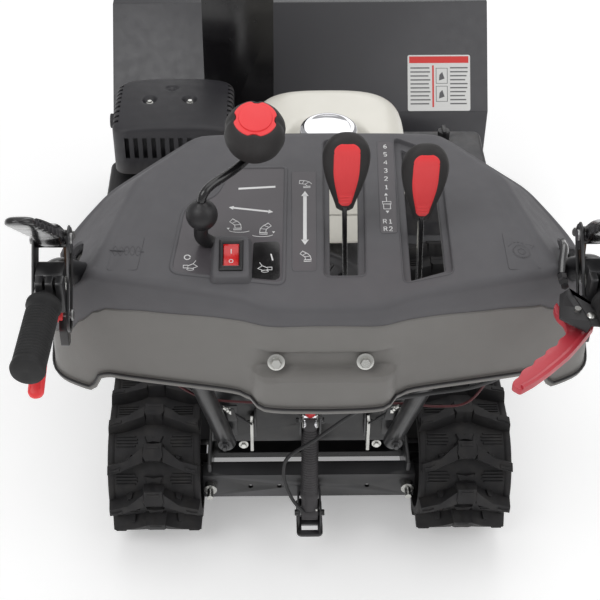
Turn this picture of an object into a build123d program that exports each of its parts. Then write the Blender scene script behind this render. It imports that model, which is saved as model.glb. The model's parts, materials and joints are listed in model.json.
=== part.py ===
from build123d import *
import os
from math import atan2, cos, degrees, hypot, pi, radians, sin

# Two stage snowblower on rubber tracks. Millimetres, +X to the operator's right,
# +Y forwards, +Z up. Every piece is drawn from the point on the ground under the
# drive axle, about which the whole machine tilts on its tracks, and is then set
# down with the origin under the middle of the machine's length.
ORIGIN_SHIFT = (0, 147, 0)

# ---- undercarriage ----
AXLE_Z = 116                 # drive axle and idler height
IDLER_Y = -400               # idler axis behind the drive axle
BELT_IN_R = 80               # inside of the track belt round a wheel
BELT_OUT_R = 92              # outside of the belt, without lugs
LUG_R = AXLE_Z               # tip of the lugs, so that they stand on the ground
LUG_COUNT = 22
TRACK_IN = 174               # inner edge of a track from the middle plane
TRACK_OUT = 320              # outer edge
TRACK_MID = (TRACK_IN + TRACK_OUT) / 2
PLATE_IN = 158               # track frame side plate
PLATE_OUT = 164
AXLE_R = 12.5
RUN = 0.05                   # radial running clearance of shafts
CROSS_Y = -446               # rear face of the cross plate

# ---- main frame ----
FRAME_X = 153                # half width of the frame box
SHEET = 3                    # frame sheet
FRAME_REAR = -430
FRAME_FRONT = 80
FRAME_TOP = 300
BULKHEAD_Y = 24
FRAME_SIDE = [(FRAME_FRONT, FRAME_TOP), (FRAME_REAR, FRAME_TOP), (FRAME_REAR, 190),
              (-160, 112), (-70, 52), (70, 52), (FRAME_FRONT, 60)]

# ---- drive line ----
CRANK_Z = 406                # engine crankshaft height
CRANK_R = 15
DISC_Z = 220                 # friction disc and hex shaft height
DISC_REAR_Y = -46
FRICTION_R = 60              # rubber rim of the friction wheel
HEX_Y = DISC_REAR_Y - FRICTION_R - 0.5
IMPELLER_Z = 178
DRIVE_BELT_Y = 44            # middle of each belt plane
AUGER_BELT_Y = 65
CHAIN_X = 90
FILLER = (26, -266)          # middle of the fuel filler
CAP_R = 43

# ---- snow intake ----
BUCKET_X = 355               # half width of the intake
BUCKET_SHEET = 3
BUCKET_REAR = 240
BEND_Z = 385                 # where the rear wall leans forward
BUCKET_TOP = 545
AUGER_Y = 440
AUGER_R = 150
IMPELLER_R = 160             # outside of the impeller housing

# ---- chute ----
CHUTE_X = -112
CHUTE_Y = 150
COLLAR_R = 68
RING_Z = 352
CHUTE_HALF = 60
CHUTE_BEND_Z = 660
CHUTE_TOP = 910
DEFLECTOR_Y = 170            # deflector pivot
WORM_X = CHUTE_X - 84 - 9.5
WORM_Z = 357

# ---- console and handles ----
DECK_Y = (-760, -500)        # two heights that set the sloping deck
DECK_Z = (780, 823)
SKIN = 3
TUBE_R = 14
GRIP_R = 18
HANDLE_PATH = [(130, -447, 205), (163, -518, 400), (214, -632, 668), (262, -690, 738),
               (302, -745, 797), (310, -905, 790)]
LEVER_X = (30, 118)          # deflector lever and speed lever
LEVER_Y = -680
LEVER_Z = 650
CRANK_HEAD = (-137, -703, 838)
CRANK_PATH = [(-137, -703, 837), (-137, -703, 868), (-93, -663, 871), (-79, -651, 914)]
KNOB_MID = (-77, -650, 911)
KNOB_R = 35
SWITCH = (-105, -720)         # middle of the light switch and its moulded cup
CUP_RISE = 8                 # height of the switch cup above the deck
ROCKER_PIVOT = 4             # height of the rocker's pivot above the deck
CLUTCH_PIVOT = (-735, 830)
CLUTCH_RISE = 42            # rest angle of a clutch lever over its grip
TRIGGER_PIVOT = (-785, 762)

# ---- gas strut between the tracks and the frame ----
STRUT_LOW = (-492, 88)
STRUT_TOP = (-445, 250)
STRUT_LENGTH = hypot(STRUT_TOP[0] - STRUT_LOW[0], STRUT_TOP[1] - STRUT_LOW[1])
STRUT_ANGLE = degrees(atan2(STRUT_TOP[1] - STRUT_LOW[1], STRUT_TOP[0] - STRUT_LOW[0]))
STRUT_PIN_R = 5

TURN = {"X": (0, 90, 0), "Y": (90, 0, 0), "Z": (0, 0, 0)}


def block(x, y, z, mode=Mode.ADD):
    """A box between two limits on each axis."""
    centre = tuple((low + high) / 2 for low, high in (x, y, z))
    with Locations(centre):
        Box(abs(x[1] - x[0]), abs(y[1] - y[0]), abs(z[1] - z[0]), mode=mode)


def drum(axis, centre, radius, length, mode=Mode.ADD):
    """A cylinder along a named axis."""
    with Locations(tuple(centre)):
        Cylinder(radius, length, rotation=TURN[axis], mode=mode)


def bar(axis, centre, radius, start, end, mode=Mode.ADD):
    """A cylinder along a named axis from one coordinate to another."""
    place = list(centre)
    place["XYZ".index(axis)] = (start + end) / 2
    drum(axis, place, radius, abs(end - start), mode)


def span(side, low, high):
    """Limits along X for the left (-1) or right (+1) side."""
    return sorted((side * low, side * high))


def deck_height(y):
    slope = (DECK_Z[1] - DECK_Z[0]) / (DECK_Y[1] - DECK_Y[0])
    return DECK_Z[0] + slope * (y - DECK_Y[0])


def deck_plane(x, y):
    """A plane lying on the deck, with its normal out of the console."""
    return Plane(origin=(x, y, deck_height(y)), x_dir=(1, 0, 0),
                 z_dir=(0, -(DECK_Z[1] - DECK_Z[0]), DECK_Y[1] - DECK_Y[0]))


def strut_plane(distance):
    """A plane square to the strut, at a distance above its lower pin."""
    along = radians(STRUT_ANGLE)
    place = (0, STRUT_LOW[0] + distance * cos(along), STRUT_LOW[1] + distance * sin(along))
    return Plane(origin=place, x_dir=(1, 0, 0), z_dir=(0, cos(along), sin(along)))


# ---------------------------------------------------------------- undercarriage
def lug_planes():
    """Planes on the belt's surface, one for each lug, with the normal outwards."""
    straight = abs(IDLER_Y)
    bend = pi * BELT_OUT_R
    pitch = 2 * (straight + bend) / LUG_COUNT
    planes = []
    for index in range(LUG_COUNT):
        travel = (index + 0.5) * pitch
        if travel < straight:
            centre, angle = (-travel, AXLE_Z), 90
        elif travel < straight + bend:
            centre, angle = (IDLER_Y, AXLE_Z), 90 + degrees((travel - straight) / BELT_OUT_R)
        elif travel < 2 * straight + bend:
            centre, angle = (IDLER_Y + travel - straight - bend, AXLE_Z), 270
        else:
            centre = (0, AXLE_Z)
            angle = 270 + degrees((travel - 2 * straight - bend) / BELT_OUT_R)
        out = (0, cos(radians(angle)), sin(radians(angle)))
        base = BELT_IN_R + 4
        planes.append(Plane(origin=(0, centre[0] + base * out[1], centre[1] + base * out[2]),
                            x_dir=(1, 0, 0), z_dir=out))
    return planes


def track_belt(side):
    half = (TRACK_OUT - TRACK_IN) / 2
    with BuildPart() as belt:
        with BuildSketch(Plane.YZ.offset(side * TRACK_MID - half)):
            with Locations((IDLER_Y / 2, AXLE_Z)):
                SlotCenterToCenter(abs(IDLER_Y), 2 * BELT_OUT_R)
                SlotCenterToCenter(abs(IDLER_Y), 2 * BELT_IN_R, mode=Mode.SUBTRACT)
        extrude(amount=2 * half)
        with BuildSketch(Plane.YZ.offset(side * TRACK_MID - 8)):
            with Locations((IDLER_Y / 2, AXLE_Z)):
                SlotCenterToCenter(abs(IDLER_Y), 2 * BELT_IN_R + 2)
                SlotCenterToCenter(abs(IDLER_Y), 2 * BELT_IN_R - 20, mode=Mode.SUBTRACT)
        extrude(amount=16)
        for plane in lug_planes():
            with BuildSketch(plane):
                with Locations((side * TRACK_MID, 0)):
                    Polygon((-half, -24), (0, 6), (half, -24), (half, -4), (14, 24), (-14, 24),
                            (-half, -4), align=None)
            extrude(amount=LUG_R - BELT_IN_R - 4)
        # lugs at the ends of the ground run are worn flat with the others
        block((-400, 400), (-700, 400), (-10, 0), Mode.SUBTRACT)
    return belt


def track_frame():
    with BuildPart() as frame:
        for side in (-1, 1):
            with BuildSketch(Plane.YZ.offset(side * (PLATE_IN + PLATE_OUT) / 2)):
                with BuildLine():
                    Polyline((CROSS_Y + 6, 146), (10, 150), (34, 134), (34, 98), (10, 82),
                             (-120, 58), (-300, 58), (CROSS_Y + 6, 76), close=True)
                make_face()
            extrude(amount=(PLATE_OUT - PLATE_IN) / 2, both=True)
            drum("X", (side * PLATE_IN, 0, AXLE_Z), AXLE_R + 0.3, 30, Mode.SUBTRACT)
            ends = span(side, PLATE_OUT - 1, TRACK_OUT - 6)
            bar("X", (0, IDLER_Y, AXLE_Z), 10, *ends)
            block(span(side, PLATE_OUT - 1, TRACK_MID + 40), (-300, -110), (46, 60))
            block(span(side, TRACK_MID - 11, TRACK_MID + 11), (-300, -110), (38, 47.2), Mode.SUBTRACT)
        block((-172, 172), (CROSS_Y, CROSS_Y + 6), (76, 127))
        block((-172, 172), (CROSS_Y, CROSS_Y + 30), (123, 127))
        block((-PLATE_IN - 1, PLATE_IN + 1), (-374, -346), (92, 104))
        with Locations((-95, CROSS_Y, 100), (-48, CROSS_Y, 100), (95, CROSS_Y, 100)):
            Cylinder(4, 30, rotation=TURN["Y"], mode=Mode.SUBTRACT)
        # strut foot: a plate with two windows, two cheeks and the lower pin
        with BuildSketch(Plane.XY.offset(66)):
            with Locations((0, -485)):
                RectangleRounded(42, 78, 8)
            with Locations((0, -466), (0, -507)):
                Rectangle(26, 12, mode=Mode.SUBTRACT)
        extrude(amount=4)
        for side in (-1, 1):
            with BuildSketch(Plane.YZ.offset(side * 17.5)):
                with BuildLine():
                    Polyline((-508, 68), (-446, 68), (-446, 100), (-480, 100), (-500, 100),
                             (-508, 88), close=True)
                make_face()
            extrude(amount=1.5, both=True)
        bar("X", (0, *STRUT_LOW), STRUT_PIN_R, -24, 24)
    return frame


def tension_bolts():
    with BuildPart() as bolts:
        for side in (-1, 1):
            place = (side * 160, 0, 104)
            bar("Y", place, 5, CROSS_Y, CROSS_Y - 28)
            with BuildSketch(Plane(origin=(side * 160, CROSS_Y, 104), x_dir=(1, 0, 0), z_dir=(0, -1, 0))):
                RegularPolygon(9.5, 6)
            extrude(amount=9)
            bar("Y", place, 10.5, CROSS_Y - 9, CROSS_Y - 11)
    return bolts


def wheel_rims(side, radius, groove):
    """Two rims and a hub; the belt's guide ridge runs in the groove between them."""
    low, high = TRACK_MID - 52, TRACK_MID + 52
    bar("X", (0, 0, AXLE_Z), groove, *span(side, low, high))
    for centre in (TRACK_MID - 36, TRACK_MID + 36):
        bar("X", (0, 0, AXLE_Z), radius, *span(side, centre - 11, centre + 11))


def drive_wheel(side):
    """The toothed wheel and its half of the drive axle, keyed and pressed together."""
    with BuildPart() as wheel:
        wheel_rims(side, BELT_IN_R - 1, 50)
        for index in range(12):
            angle = radians(index * 30)
            place = (side * TRACK_MID, 80 * cos(angle), AXLE_Z + 80 * sin(angle))
            drum("X", place, 9, 110, Mode.SUBTRACT)
        for index in range(6):
            angle = radians(index * 60)
            place = (side * TRACK_MID, 36 * cos(angle), AXLE_Z + 36 * sin(angle))
            drum("X", place, 9, 110, Mode.SUBTRACT)
        bar("X", (0, 0, AXLE_Z), AXLE_R, *span(side, 4, TRACK_OUT - 4))
        with BuildSketch(Plane.YZ.offset(side * (TRACK_MID + 52))):
            with Locations((0, AXLE_Z)):
                RegularPolygon(17, 6)
        extrude(amount=side * 13)
    return wheel


def idler(side):
    with BuildPart() as wheel:
        with BuildSketch(Plane.YZ.offset(side * TRACK_MID - 52)):
            with Locations((IDLER_Y, AXLE_Z)):
                Circle(60)
        extrude(amount=104)
        for centre in (TRACK_MID - 36, TRACK_MID + 36):
            bar("X", (0, IDLER_Y, AXLE_Z), BELT_IN_R - 1, *span(side, centre - 11, centre + 11))
        for index in range(5):
            angle = radians(index * 72 + 36)
            place = (side * TRACK_MID, IDLER_Y + 38 * cos(angle), AXLE_Z + 38 * sin(angle))
            drum("X", place, 13, 110, Mode.SUBTRACT)
        drum("X", (side * TRACK_MID, IDLER_Y, AXLE_Z), 10 + RUN, 110, Mode.SUBTRACT)
    return wheel


def strut_cylinder():
    with BuildPart() as cylinder:
        with BuildSketch(strut_plane(9)):
            Circle(13)
        extrude(amount=87)
        bar("X", (0, *STRUT_LOW), 12, -13, 13)
        with BuildSketch(strut_plane(17)):
            Circle(6 + RUN)
        extrude(amount=90, mode=Mode.SUBTRACT)
        bar("X", (0, *STRUT_LOW), STRUT_PIN_R + RUN, -20, 20, Mode.SUBTRACT)
    return cylinder


def strut_rod():
    with BuildPart() as rod:
        with BuildSketch(strut_plane(76)):
            Circle(6)
        extrude(amount=STRUT_LENGTH - 84)
        bar("X", (0, *STRUT_TOP), 13, -10, 10)
        bar("X", (0, *STRUT_TOP), STRUT_PIN_R + 2.6, -20, 20, Mode.SUBTRACT)
    return rod


# ---------------------------------------------------------------- main frame
def main_frame():
    with BuildPart() as frame:
        with BuildSketch(Plane.YZ):
            Polygon(*FRAME_SIDE, align=None)
        extrude(amount=FRAME_X, both=True)
        inside = (-FRAME_X + SHEET, FRAME_X - SHEET)
        block(inside, (FRAME_REAR + SHEET, BULKHEAD_Y), (0, FRAME_TOP - SHEET), Mode.SUBTRACT)
        block(inside, (BULKHEAD_Y + SHEET, FRAME_FRONT + 1), (0, FRAME_TOP + 1), Mode.SUBTRACT)
        block(inside, (BULKHEAD_Y - 1, BULKHEAD_Y + SHEET + 1), (0, 186), Mode.SUBTRACT)
        # shaft holes: drive axle, hex shaft and friction disc shaft
        bar("X", (0, 0, AXLE_Z), AXLE_R + RUN, -200, 200, Mode.SUBTRACT)
        bar("X", (0, HEX_Y, DISC_Z), 8 + RUN, -200, 200, Mode.SUBTRACT)
        bar("Y", (0, 0, DISC_Z), 10 + RUN, BULKHEAD_Y - 20, BULKHEAD_Y + 20, Mode.SUBTRACT)
        # rear brackets: strut ears with the upper pin, handle pads, linkage ears
        for side in (-1, 1):
            block(span(side, 14, 17), (-459, FRAME_REAR), (232, 268))
            block(span(side, 114, 146), (-432, FRAME_REAR), (205, 270))
            block(span(side, 84, 87), (-452, FRAME_REAR), (222, 262))
            bar("X", (0, -442, 244), 4, *span(side, 86, 98))
        bar("X", (0, *STRUT_TOP), STRUT_PIN_R, -22, 22)
    return frame


def bottom_cover():
    """A bent sheet between the frame's side plates, with pressed cross ribs."""
    with BuildPart() as cover:
        with BuildSketch(Plane.YZ):
            Polygon(*FRAME_SIDE, align=None)
        extrude(amount=FRAME_X - SHEET, both=True)
        with BuildSketch(Plane.YZ):
            Polygon(*[(y, z + 3) for y, z in FRAME_SIDE], align=None)
        extrude(amount=FRAME_X, both=True, mode=Mode.SUBTRACT)
        block((-200, 200), (-500, FRAME_REAR + SHEET), (0, 400), Mode.SUBTRACT)
        for step in range(4):
            y = -400 + 56 * step
            z = 190 - (y + 430) * 78 / 270
            block((-140, 140), (y - 7, y + 7), (z - 5, z + 2.5))
    return cover


# ---------------------------------------------------------------- drive line
def pulley(axis_z, y, radius, groove):
    bar("Y", (0, 0, axis_z), radius, y - 8, y + 8)
    bar("Y", (0, 0, axis_z), radius + 1, y - 6, y + 6, Mode.SUBTRACT)
    bar("Y", (0, 0, axis_z), groove, y - 6, y + 6)


def crankshaft():
    with BuildPart() as shaft:
        pulley(CRANK_Z, DRIVE_BELT_Y, 32, 22)
        pulley(CRANK_Z, AUGER_BELT_Y + 0.5, 32, 22)
        bar("Y", (0, 0, CRANK_Z), CRANK_R, -300, 76)
        bar("Y", (0, 0, CRANK_Z), 80, -284, -262)
    return shaft


def friction_disc():
    with BuildPart() as disc:
        bar("Y", (0, 0, DISC_Z), 72, DISC_REAR_Y, DISC_REAR_Y + 10)
        bar("Y", (0, 0, DISC_Z), 24, DISC_REAR_Y + 9, DISC_REAR_Y + 34)
        bar("Y", (0, 0, DISC_Z), 10, DISC_REAR_Y + 5, 52)
        pulley(DISC_Z, DRIVE_BELT_Y, 50, 40)
    return disc


def hex_shaft():
    with BuildPart() as shaft:
        bar("X", (0, HEX_Y, DISC_Z), 8, -FRAME_X - 5, FRAME_X + 5)
        with BuildSketch(Plane.YZ.offset(-140)):
            with Locations((HEX_Y, DISC_Z)):
                RegularPolygon(12, 6)
        extrude(amount=280)
        bar("X", (0, HEX_Y, DISC_Z), 20, CHAIN_X - 5, CHAIN_X + 5)
    return shaft


def friction_wheel():
    with BuildPart() as wheel:
        bar("X", (0, HEX_Y, DISC_Z), FRICTION_R, -7, 7)
        bar("X", (0, HEX_Y, DISC_Z), 24, -14, 14)
        with BuildSketch(Plane.YZ.offset(-20)):
            with Locations((HEX_Y, DISC_Z)):
                RegularPolygon(12.1, 6)
        extrude(amount=40, mode=Mode.SUBTRACT)
    return wheel


def final_drive():
    """A sleeve over the inner ends of both half axles, with its chain sprocket."""
    with BuildPart() as sleeve:
        bar("X", (0, 0, AXLE_Z), 22, -70, CHAIN_X + 8)
        bar("X", (0, 0, AXLE_Z), 50, CHAIN_X - 4, CHAIN_X + 4)
        bar("X", (0, 0, AXLE_Z), AXLE_R + RUN, -90, CHAIN_X + 20, Mode.SUBTRACT)
    return sleeve


def loop_band(plane, first, second, thickness, width):
    """A flat band round two circles: a belt or a chain."""
    (place_a, radius_a), (place_b, radius_b) = first, second
    with BuildPart() as band:
        with BuildSketch(plane):
            with BuildLine():
                CenterArc(place_a, radius_a + thickness, 0, 360)
                CenterArc(place_b, radius_b + thickness, 0, 360)
            make_hull()
        extrude(amount=width / 2, both=True)
        with BuildSketch(plane):
            with BuildLine():
                CenterArc(place_a, radius_a, 0, 360)
                CenterArc(place_b, radius_b, 0, 360)
            make_hull()
        extrude(amount=width, both=True, mode=Mode.SUBTRACT)
    return band


def drive_belts():
    """Two V-belts from the crankshaft, and the roller chain to the final drive."""
    across_y = Plane(origin=(0, DRIVE_BELT_Y, 0), x_dir=(1, 0, 0), z_dir=(0, -1, 0))
    to_disc = loop_band(across_y, ((0, CRANK_Z), 22.5), ((0, DISC_Z), 40.5), 9, 10)
    front = Plane(origin=(0, AUGER_BELT_Y + 0.5, 0), x_dir=(1, 0, 0), z_dir=(0, -1, 0))
    to_impeller = loop_band(front, ((0, CRANK_Z), 22.5), ((0, IMPELLER_Z), 80.5), 9, 10)
    chain_plane = Plane.YZ.offset(CHAIN_X)
    chain = loop_band(chain_plane, ((HEX_Y, DISC_Z), 20.5), ((0, AXLE_Z), 50.5), 6, 8)
    with BuildPart() as belts:
        add(to_disc.part)
        add(to_impeller.part)
        add(chain.part)
    return belts


# ---------------------------------------------------------------- snow intake
def auger_housing():
    outer = [(BUCKET_REAR, 8), (600, 8), (618, 40), (612, 420), (560, BUCKET_TOP),
             (375, BUCKET_TOP), (BUCKET_REAR, BEND_Z)]
    inner = [(BUCKET_REAR + 3, -10), (700, -10), (700, BUCKET_TOP - 3),
             (377, BUCKET_TOP - 3), (BUCKET_REAR + 3, BEND_Z - 1.5)]
    with BuildPart() as bucket:
        with BuildSketch(Plane.YZ):
            Polygon(*outer, align=None)
        extrude(amount=BUCKET_X, both=True)
        with BuildSketch(Plane.YZ):
            Polygon(*inner, align=None)
        extrude(amount=BUCKET_X - BUCKET_SHEET, both=True, mode=Mode.SUBTRACT)
        bar("Y", (0, 0, IMPELLER_Z), IMPELLER_R - 3, 200, 260, Mode.SUBTRACT)
        for side in (-1, 1):
            bar("X", (0, AUGER_Y, IMPELLER_Z), 12 + RUN, *span(side, 340, 370), Mode.SUBTRACT)
    return bucket


def impeller_housing():
    with BuildPart() as housing:
        bar("Y", (0, 0, IMPELLER_Z), IMPELLER_R, FRAME_FRONT, BUCKET_REAR)
        with Locations((CHUTE_X, CHUTE_Y, (140 + RING_Z) / 2)):
            Cylinder(COLLAR_R, RING_Z - 140)
        block((-217, -150), (96, 216), (326, 332))
        with Locations((CHUTE_X, CHUTE_Y, (150 + RING_Z) / 2 + 1)):
            Cylinder(COLLAR_R - 3, RING_Z - 148, mode=Mode.SUBTRACT)
        bar("Y", (0, 0, IMPELLER_Z), IMPELLER_R - 3, FRAME_FRONT + 3, BUCKET_REAR + 1, Mode.SUBTRACT)
        bar("Y", (0, 0, IMPELLER_Z), 30, FRAME_FRONT + 2, FRAME_FRONT + 16)
        bar("Y", (0, 0, IMPELLER_Z), 12 + RUN, 60, 120, Mode.SUBTRACT)
        # ears that carry the worm
        for y in (96, 212):
            block((-217, -194), (y, y + 4), (330, 369))
        bar("Y", (WORM_X, 0, WORM_Z), 6 + RUN, 80, 230, Mode.SUBTRACT)
    return housing


def impeller():
    """Shaft, belt pulley and four paddles, welded into one piece."""
    with BuildPart() as fan:
        pulley(IMPELLER_Z, AUGER_BELT_Y + 0.5, 90, 80)
        bar("Y", (0, 0, IMPELLER_Z), 12, 56, 398)
        bar("Y", (0, 0, IMPELLER_Z), 24, 112, 212)
        for index in range(4):
            angle = 45 + 90 * index
            plane = Plane(origin=(0, 162, IMPELLER_Z), x_dir=(cos(radians(angle)), 0, sin(radians(angle))),
                          z_dir=(0, 1, 0))
            with BuildSketch(plane):
                with Locations((84, 0)):
                    Rectangle(128, 5)
                with Locations((146, 7)):
                    Rectangle(5, 18)
            extrude(amount=42, both=True)
    return fan


def auger_gearbox():
    with BuildPart() as gearbox:
        bar("X", (0, AUGER_Y, IMPELLER_Z), 46, -30, 30)
        fillet(gearbox.edges(), 12)
        bar("Y", (0, 0, IMPELLER_Z), 24, 372, AUGER_Y - 14)
        bar("X", (0, AUGER_Y, IMPELLER_Z), 28, -50, 50)
        drum("X", (0, AUGER_Y, IMPELLER_Z), 12 + RUN, 120, Mode.SUBTRACT)
        bar("Y", (0, 0, IMPELLER_Z), 12 + RUN, 360, 402, Mode.SUBTRACT)
    return gearbox


def auger_shaft():
    with BuildPart() as shaft:
        bar("X", (0, AUGER_Y, IMPELLER_Z), 12, -BUCKET_X - 6, BUCKET_X + 6)
        for side in (-1, 1):
            bar("X", (0, AUGER_Y, IMPELLER_Z), 22, *span(side, BUCKET_X + 4, BUCKET_X + 8))
    return shaft


def augers():
    """Two spiral ribbons on each half, carried by spokes on a tube over the shaft."""
    start, end = 58, 340
    length = end - start - 14
    ribbon_r = AUGER_R - 20
    with BuildPart() as pair:
        for side in (-1, 1):
            hub = Vector(side * (start + 7), AUGER_Y, IMPELLER_Z)
            bar("X", (0, AUGER_Y, IMPELLER_Z), 19, *span(side, start, end))
            spiral = Helix(pitch=length / 0.75, height=length, radius=ribbon_r, center=hub,
                           direction=(side, 0, 0), lefthand=side > 0, mode=Mode.PRIVATE)
            for half_turn in (0, 180):
                path = spiral.rotate(Axis(hub, (1, 0, 0)), half_turn)
                outwards = (path @ 0) - hub
                with BuildSketch(Plane(origin=path @ 0, x_dir=outwards, z_dir=path % 0)):
                    Rectangle(36, 5)
                sweep(path=path, is_frenet=True)
            for share in (0.1, 0.5, 0.9):
                rim = (spiral @ share) - hub
                plane = Plane(origin=(hub.X + side * length * share, AUGER_Y, IMPELLER_Z), x_dir=(side, 0, 0),
                              z_dir=(0, rim.Y, rim.Z))
                with BuildSketch(plane):
                    Rectangle(14, 5)
                extrude(amount=ribbon_r, both=True)
        bar("X", (0, AUGER_Y, IMPELLER_Z), 12, -400, 400, Mode.SUBTRACT)
    return pair


def scraper_bar():
    with BuildPart() as scraper:
        block((-BUCKET_X + 4, BUCKET_X - 4), (BUCKET_REAR - 6, BUCKET_REAR), (3, 16))
        block((-BUCKET_X + 4, BUCKET_X - 4), (BUCKET_REAR - 6, BUCKET_REAR + 40), (3, 8))
    return scraper


def skid_shoes():
    with BuildPart() as shoes:
        for side in (-1, 1):
            block(span(side, BUCKET_X, BUCKET_X + 5), (300, 560), (12, 72))
            with BuildSketch(Plane.XZ.offset(-300)):
                with Locations((side * (BUCKET_X + 14), 8)):
                    Rectangle(28, 8)
            extrude(amount=-260)
        for side in (-1, 1):
            for y in (340, 520):
                bar("X", (0, y, 46), 9, *span(side, BUCKET_X + 4, BUCKET_X + 12))
    return shoes


# ---------------------------------------------------------------- chute
def chute_worm():
    with BuildPart() as worm:
        bar("Y", (WORM_X, 0, WORM_Z), 6, 70, 224)
        bar("Y", (WORM_X, 0, WORM_Z), 9, 104, 208)
    return worm


def chute():
    back, front = CHUTE_Y - CHUTE_HALF, CHUTE_Y + CHUTE_HALF
    base = RING_Z + 1
    lean = 47
    outer = [(back, base + 8), (back, CHUTE_BEND_Z), (back + lean, CHUTE_TOP - 16), (152, CHUTE_TOP),
             (190, CHUTE_TOP), (front + lean + 14, CHUTE_TOP - 40), (front, CHUTE_BEND_Z - 20),
             (front, base + 8)]
    inner = [(back + 3, base + 8), (back + 3, CHUTE_BEND_Z), (back + lean + 4, CHUTE_TOP + 5),
             (front + 120, CHUTE_TOP + 5), (front + 120, 500), (front - 3, 500), (front - 3, base + 8)]
    with BuildPart() as spout:
        with Locations((CHUTE_X, CHUTE_Y, base + 4)):
            Cylinder(84, 8)
        with BuildSketch(Plane.YZ.offset(CHUTE_X)):
            Polygon(*outer, align=None)
        extrude(amount=CHUTE_HALF, both=True)
        with BuildSketch(Plane.YZ.offset(CHUTE_X)):
            Polygon(*inner, align=None)
        extrude(amount=CHUTE_HALF - 3, both=True, mode=Mode.SUBTRACT)
        with Locations((CHUTE_X, CHUTE_Y, base + 4)):
            Cylinder(56, 9, mode=Mode.SUBTRACT)
        bar("X", (0, DEFLECTOR_Y, CHUTE_TOP - 12), 5, CHUTE_X - CHUTE_HALF - 8, CHUTE_X - CHUTE_HALF + 1)
        bar("X", (0, DEFLECTOR_Y, CHUTE_TOP - 12), 5, CHUTE_X + CHUTE_HALF - 1, CHUTE_X + CHUTE_HALF + 8)
    return spout


def deflector():
    pivot_z = CHUTE_TOP - 12
    spine = [(-36, 2), (-33, 32), (-6, 68), (44, 108), (112, 136), (166, 142)]
    cheek = spine + [(150, 112), (96, 84), (46, 40), (20, -14), (-14, -16)]
    roof = spine + [(y + 2, z - 4) for y, z in reversed(spine)]
    with BuildPart() as cap:
        with BuildSketch(Plane.YZ.offset(CHUTE_X)):
            with Locations((DEFLECTOR_Y, pivot_z)):
                Polygon(*cheek, align=None)
        extrude(amount=CHUTE_HALF + 4, both=True)
        with BuildSketch(Plane.YZ.offset(CHUTE_X)):
            with Locations((DEFLECTOR_Y, pivot_z)):
                Polygon(*cheek, align=None)
        extrude(amount=CHUTE_HALF + 1, both=True, mode=Mode.SUBTRACT)
        with BuildSketch(Plane.YZ.offset(CHUTE_X)):
            with Locations((DEFLECTOR_Y, pivot_z)):
                Polygon(*roof, align=None)
        extrude(amount=CHUTE_HALF + 4, both=True)
        bar("X", (0, DEFLECTOR_Y, pivot_z), 5 + RUN, CHUTE_X - 90, CHUTE_X + 90, Mode.SUBTRACT)
    return cap


# ---------------------------------------------------------------- engine
def rounded_box(x, y, z, corner, top):
    """A box with rounded upright edges and a rounded top edge."""
    with BuildPart() as shape:
        block(x, y, z)
        fillet(shape.edges().filter_by(Axis.Z), corner)
        fillet(shape.edges().group_by(Axis.Z)[-1], top)
    return shape.part


def hood_shape(x, y, z, wall, corner, top):
    """A rounded box, hollow and open underneath."""
    outer = rounded_box(x, y, z, corner, top)
    hollow = rounded_box((x[0] + wall, x[1] - wall), (y[0] + wall, y[1] - wall), (z[0] - 10, z[1] - wall),
                         corner - wall, top - wall)
    return outer - hollow


def belt_cover():
    with BuildPart() as cover:
        rear, front = BULKHEAD_Y + SHEET, FRAME_FRONT
        with BuildSketch(Plane.XZ.offset(-front)):
            Polygon((-66, FRAME_TOP), (-44, 430), (-30, 456), (30, 456), (44, 430), (66, FRAME_TOP),
                    align=None)
        extrude(amount=front - rear)
        with BuildSketch(Plane.XZ.offset(2 - front)):
            Polygon((-64, FRAME_TOP - 1), (-42, 429), (-29, 454), (29, 454), (42, 429), (64, FRAME_TOP - 1),
                    align=None)
        extrude(amount=front - rear - 4, mode=Mode.SUBTRACT)
        bar("Y", (0, 0, CRANK_Z), CRANK_R + 3, 0, 50, Mode.SUBTRACT)
    return cover


def engine_block():
    """Crankcase, finned cylinder, tank posts, exhaust pipe and carburettor."""
    with BuildPart() as engine:
        block((-85, 95), (-240, -40), (FRAME_TOP, 475))
        fillet(engine.edges().filter_by(Axis.Y), 12)
        block((-205, -84), (-190, -75), (372, 462))
        block((-222, -204), (-180, -85), (378, 456))
        for index in range(9):
            x = -198 + 12 * index
            block((x, x + 3), (-204, -61), (362, 472))
        for x in (-60, 85):
            for y in (-225, -95):
                block((x - 8, x + 8), (y - 8, y + 8), (470, 500))
        bar("Z", (-180, -100, 0), 13, 455, 510)
        block((90, 150), (-130, -60), (412, 462))
        bar("Y", (0, 0, CRANK_Z), 34, -44, -30)
        bar("Y", (0, 0, CRANK_Z), CRANK_R + RUN, -260, 0, Mode.SUBTRACT)
        for x in (-70, 80):
            for y in (-220, -60):
                block((x - 22, x + 22), (y - 16, y + 16), (FRAME_TOP, 312))
    return engine


def blower_housing():
    """Recoil starter and cooling fan housing, with air slots in its rear face."""
    radius = 92
    with BuildPart() as housing:
        bar("Y", (0, 0, CRANK_Z), radius, -334, -240)
        fillet(housing.edges().group_by(Axis.Y)[0], 8)
        bar("Y", (0, 0, CRANK_Z), radius - 3, -330, -239, Mode.SUBTRACT)
        bar("Y", (0, 0, CRANK_Z), 26, -332, -304)
        bar("Y", (0, 0, CRANK_Z), CRANK_R + RUN, -312, -280, Mode.SUBTRACT)
        for index in range(20):
            angle = radians(index * 18 + 9)
            plane = Plane(origin=(0, -340, CRANK_Z), x_dir=(cos(angle), 0, sin(angle)), z_dir=(0, 1, 0))
            with BuildSketch(plane):
                with Locations((58, 0)):
                    SlotOverall(34, 6)
            extrude(amount=20, mode=Mode.SUBTRACT)
    return housing


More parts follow.
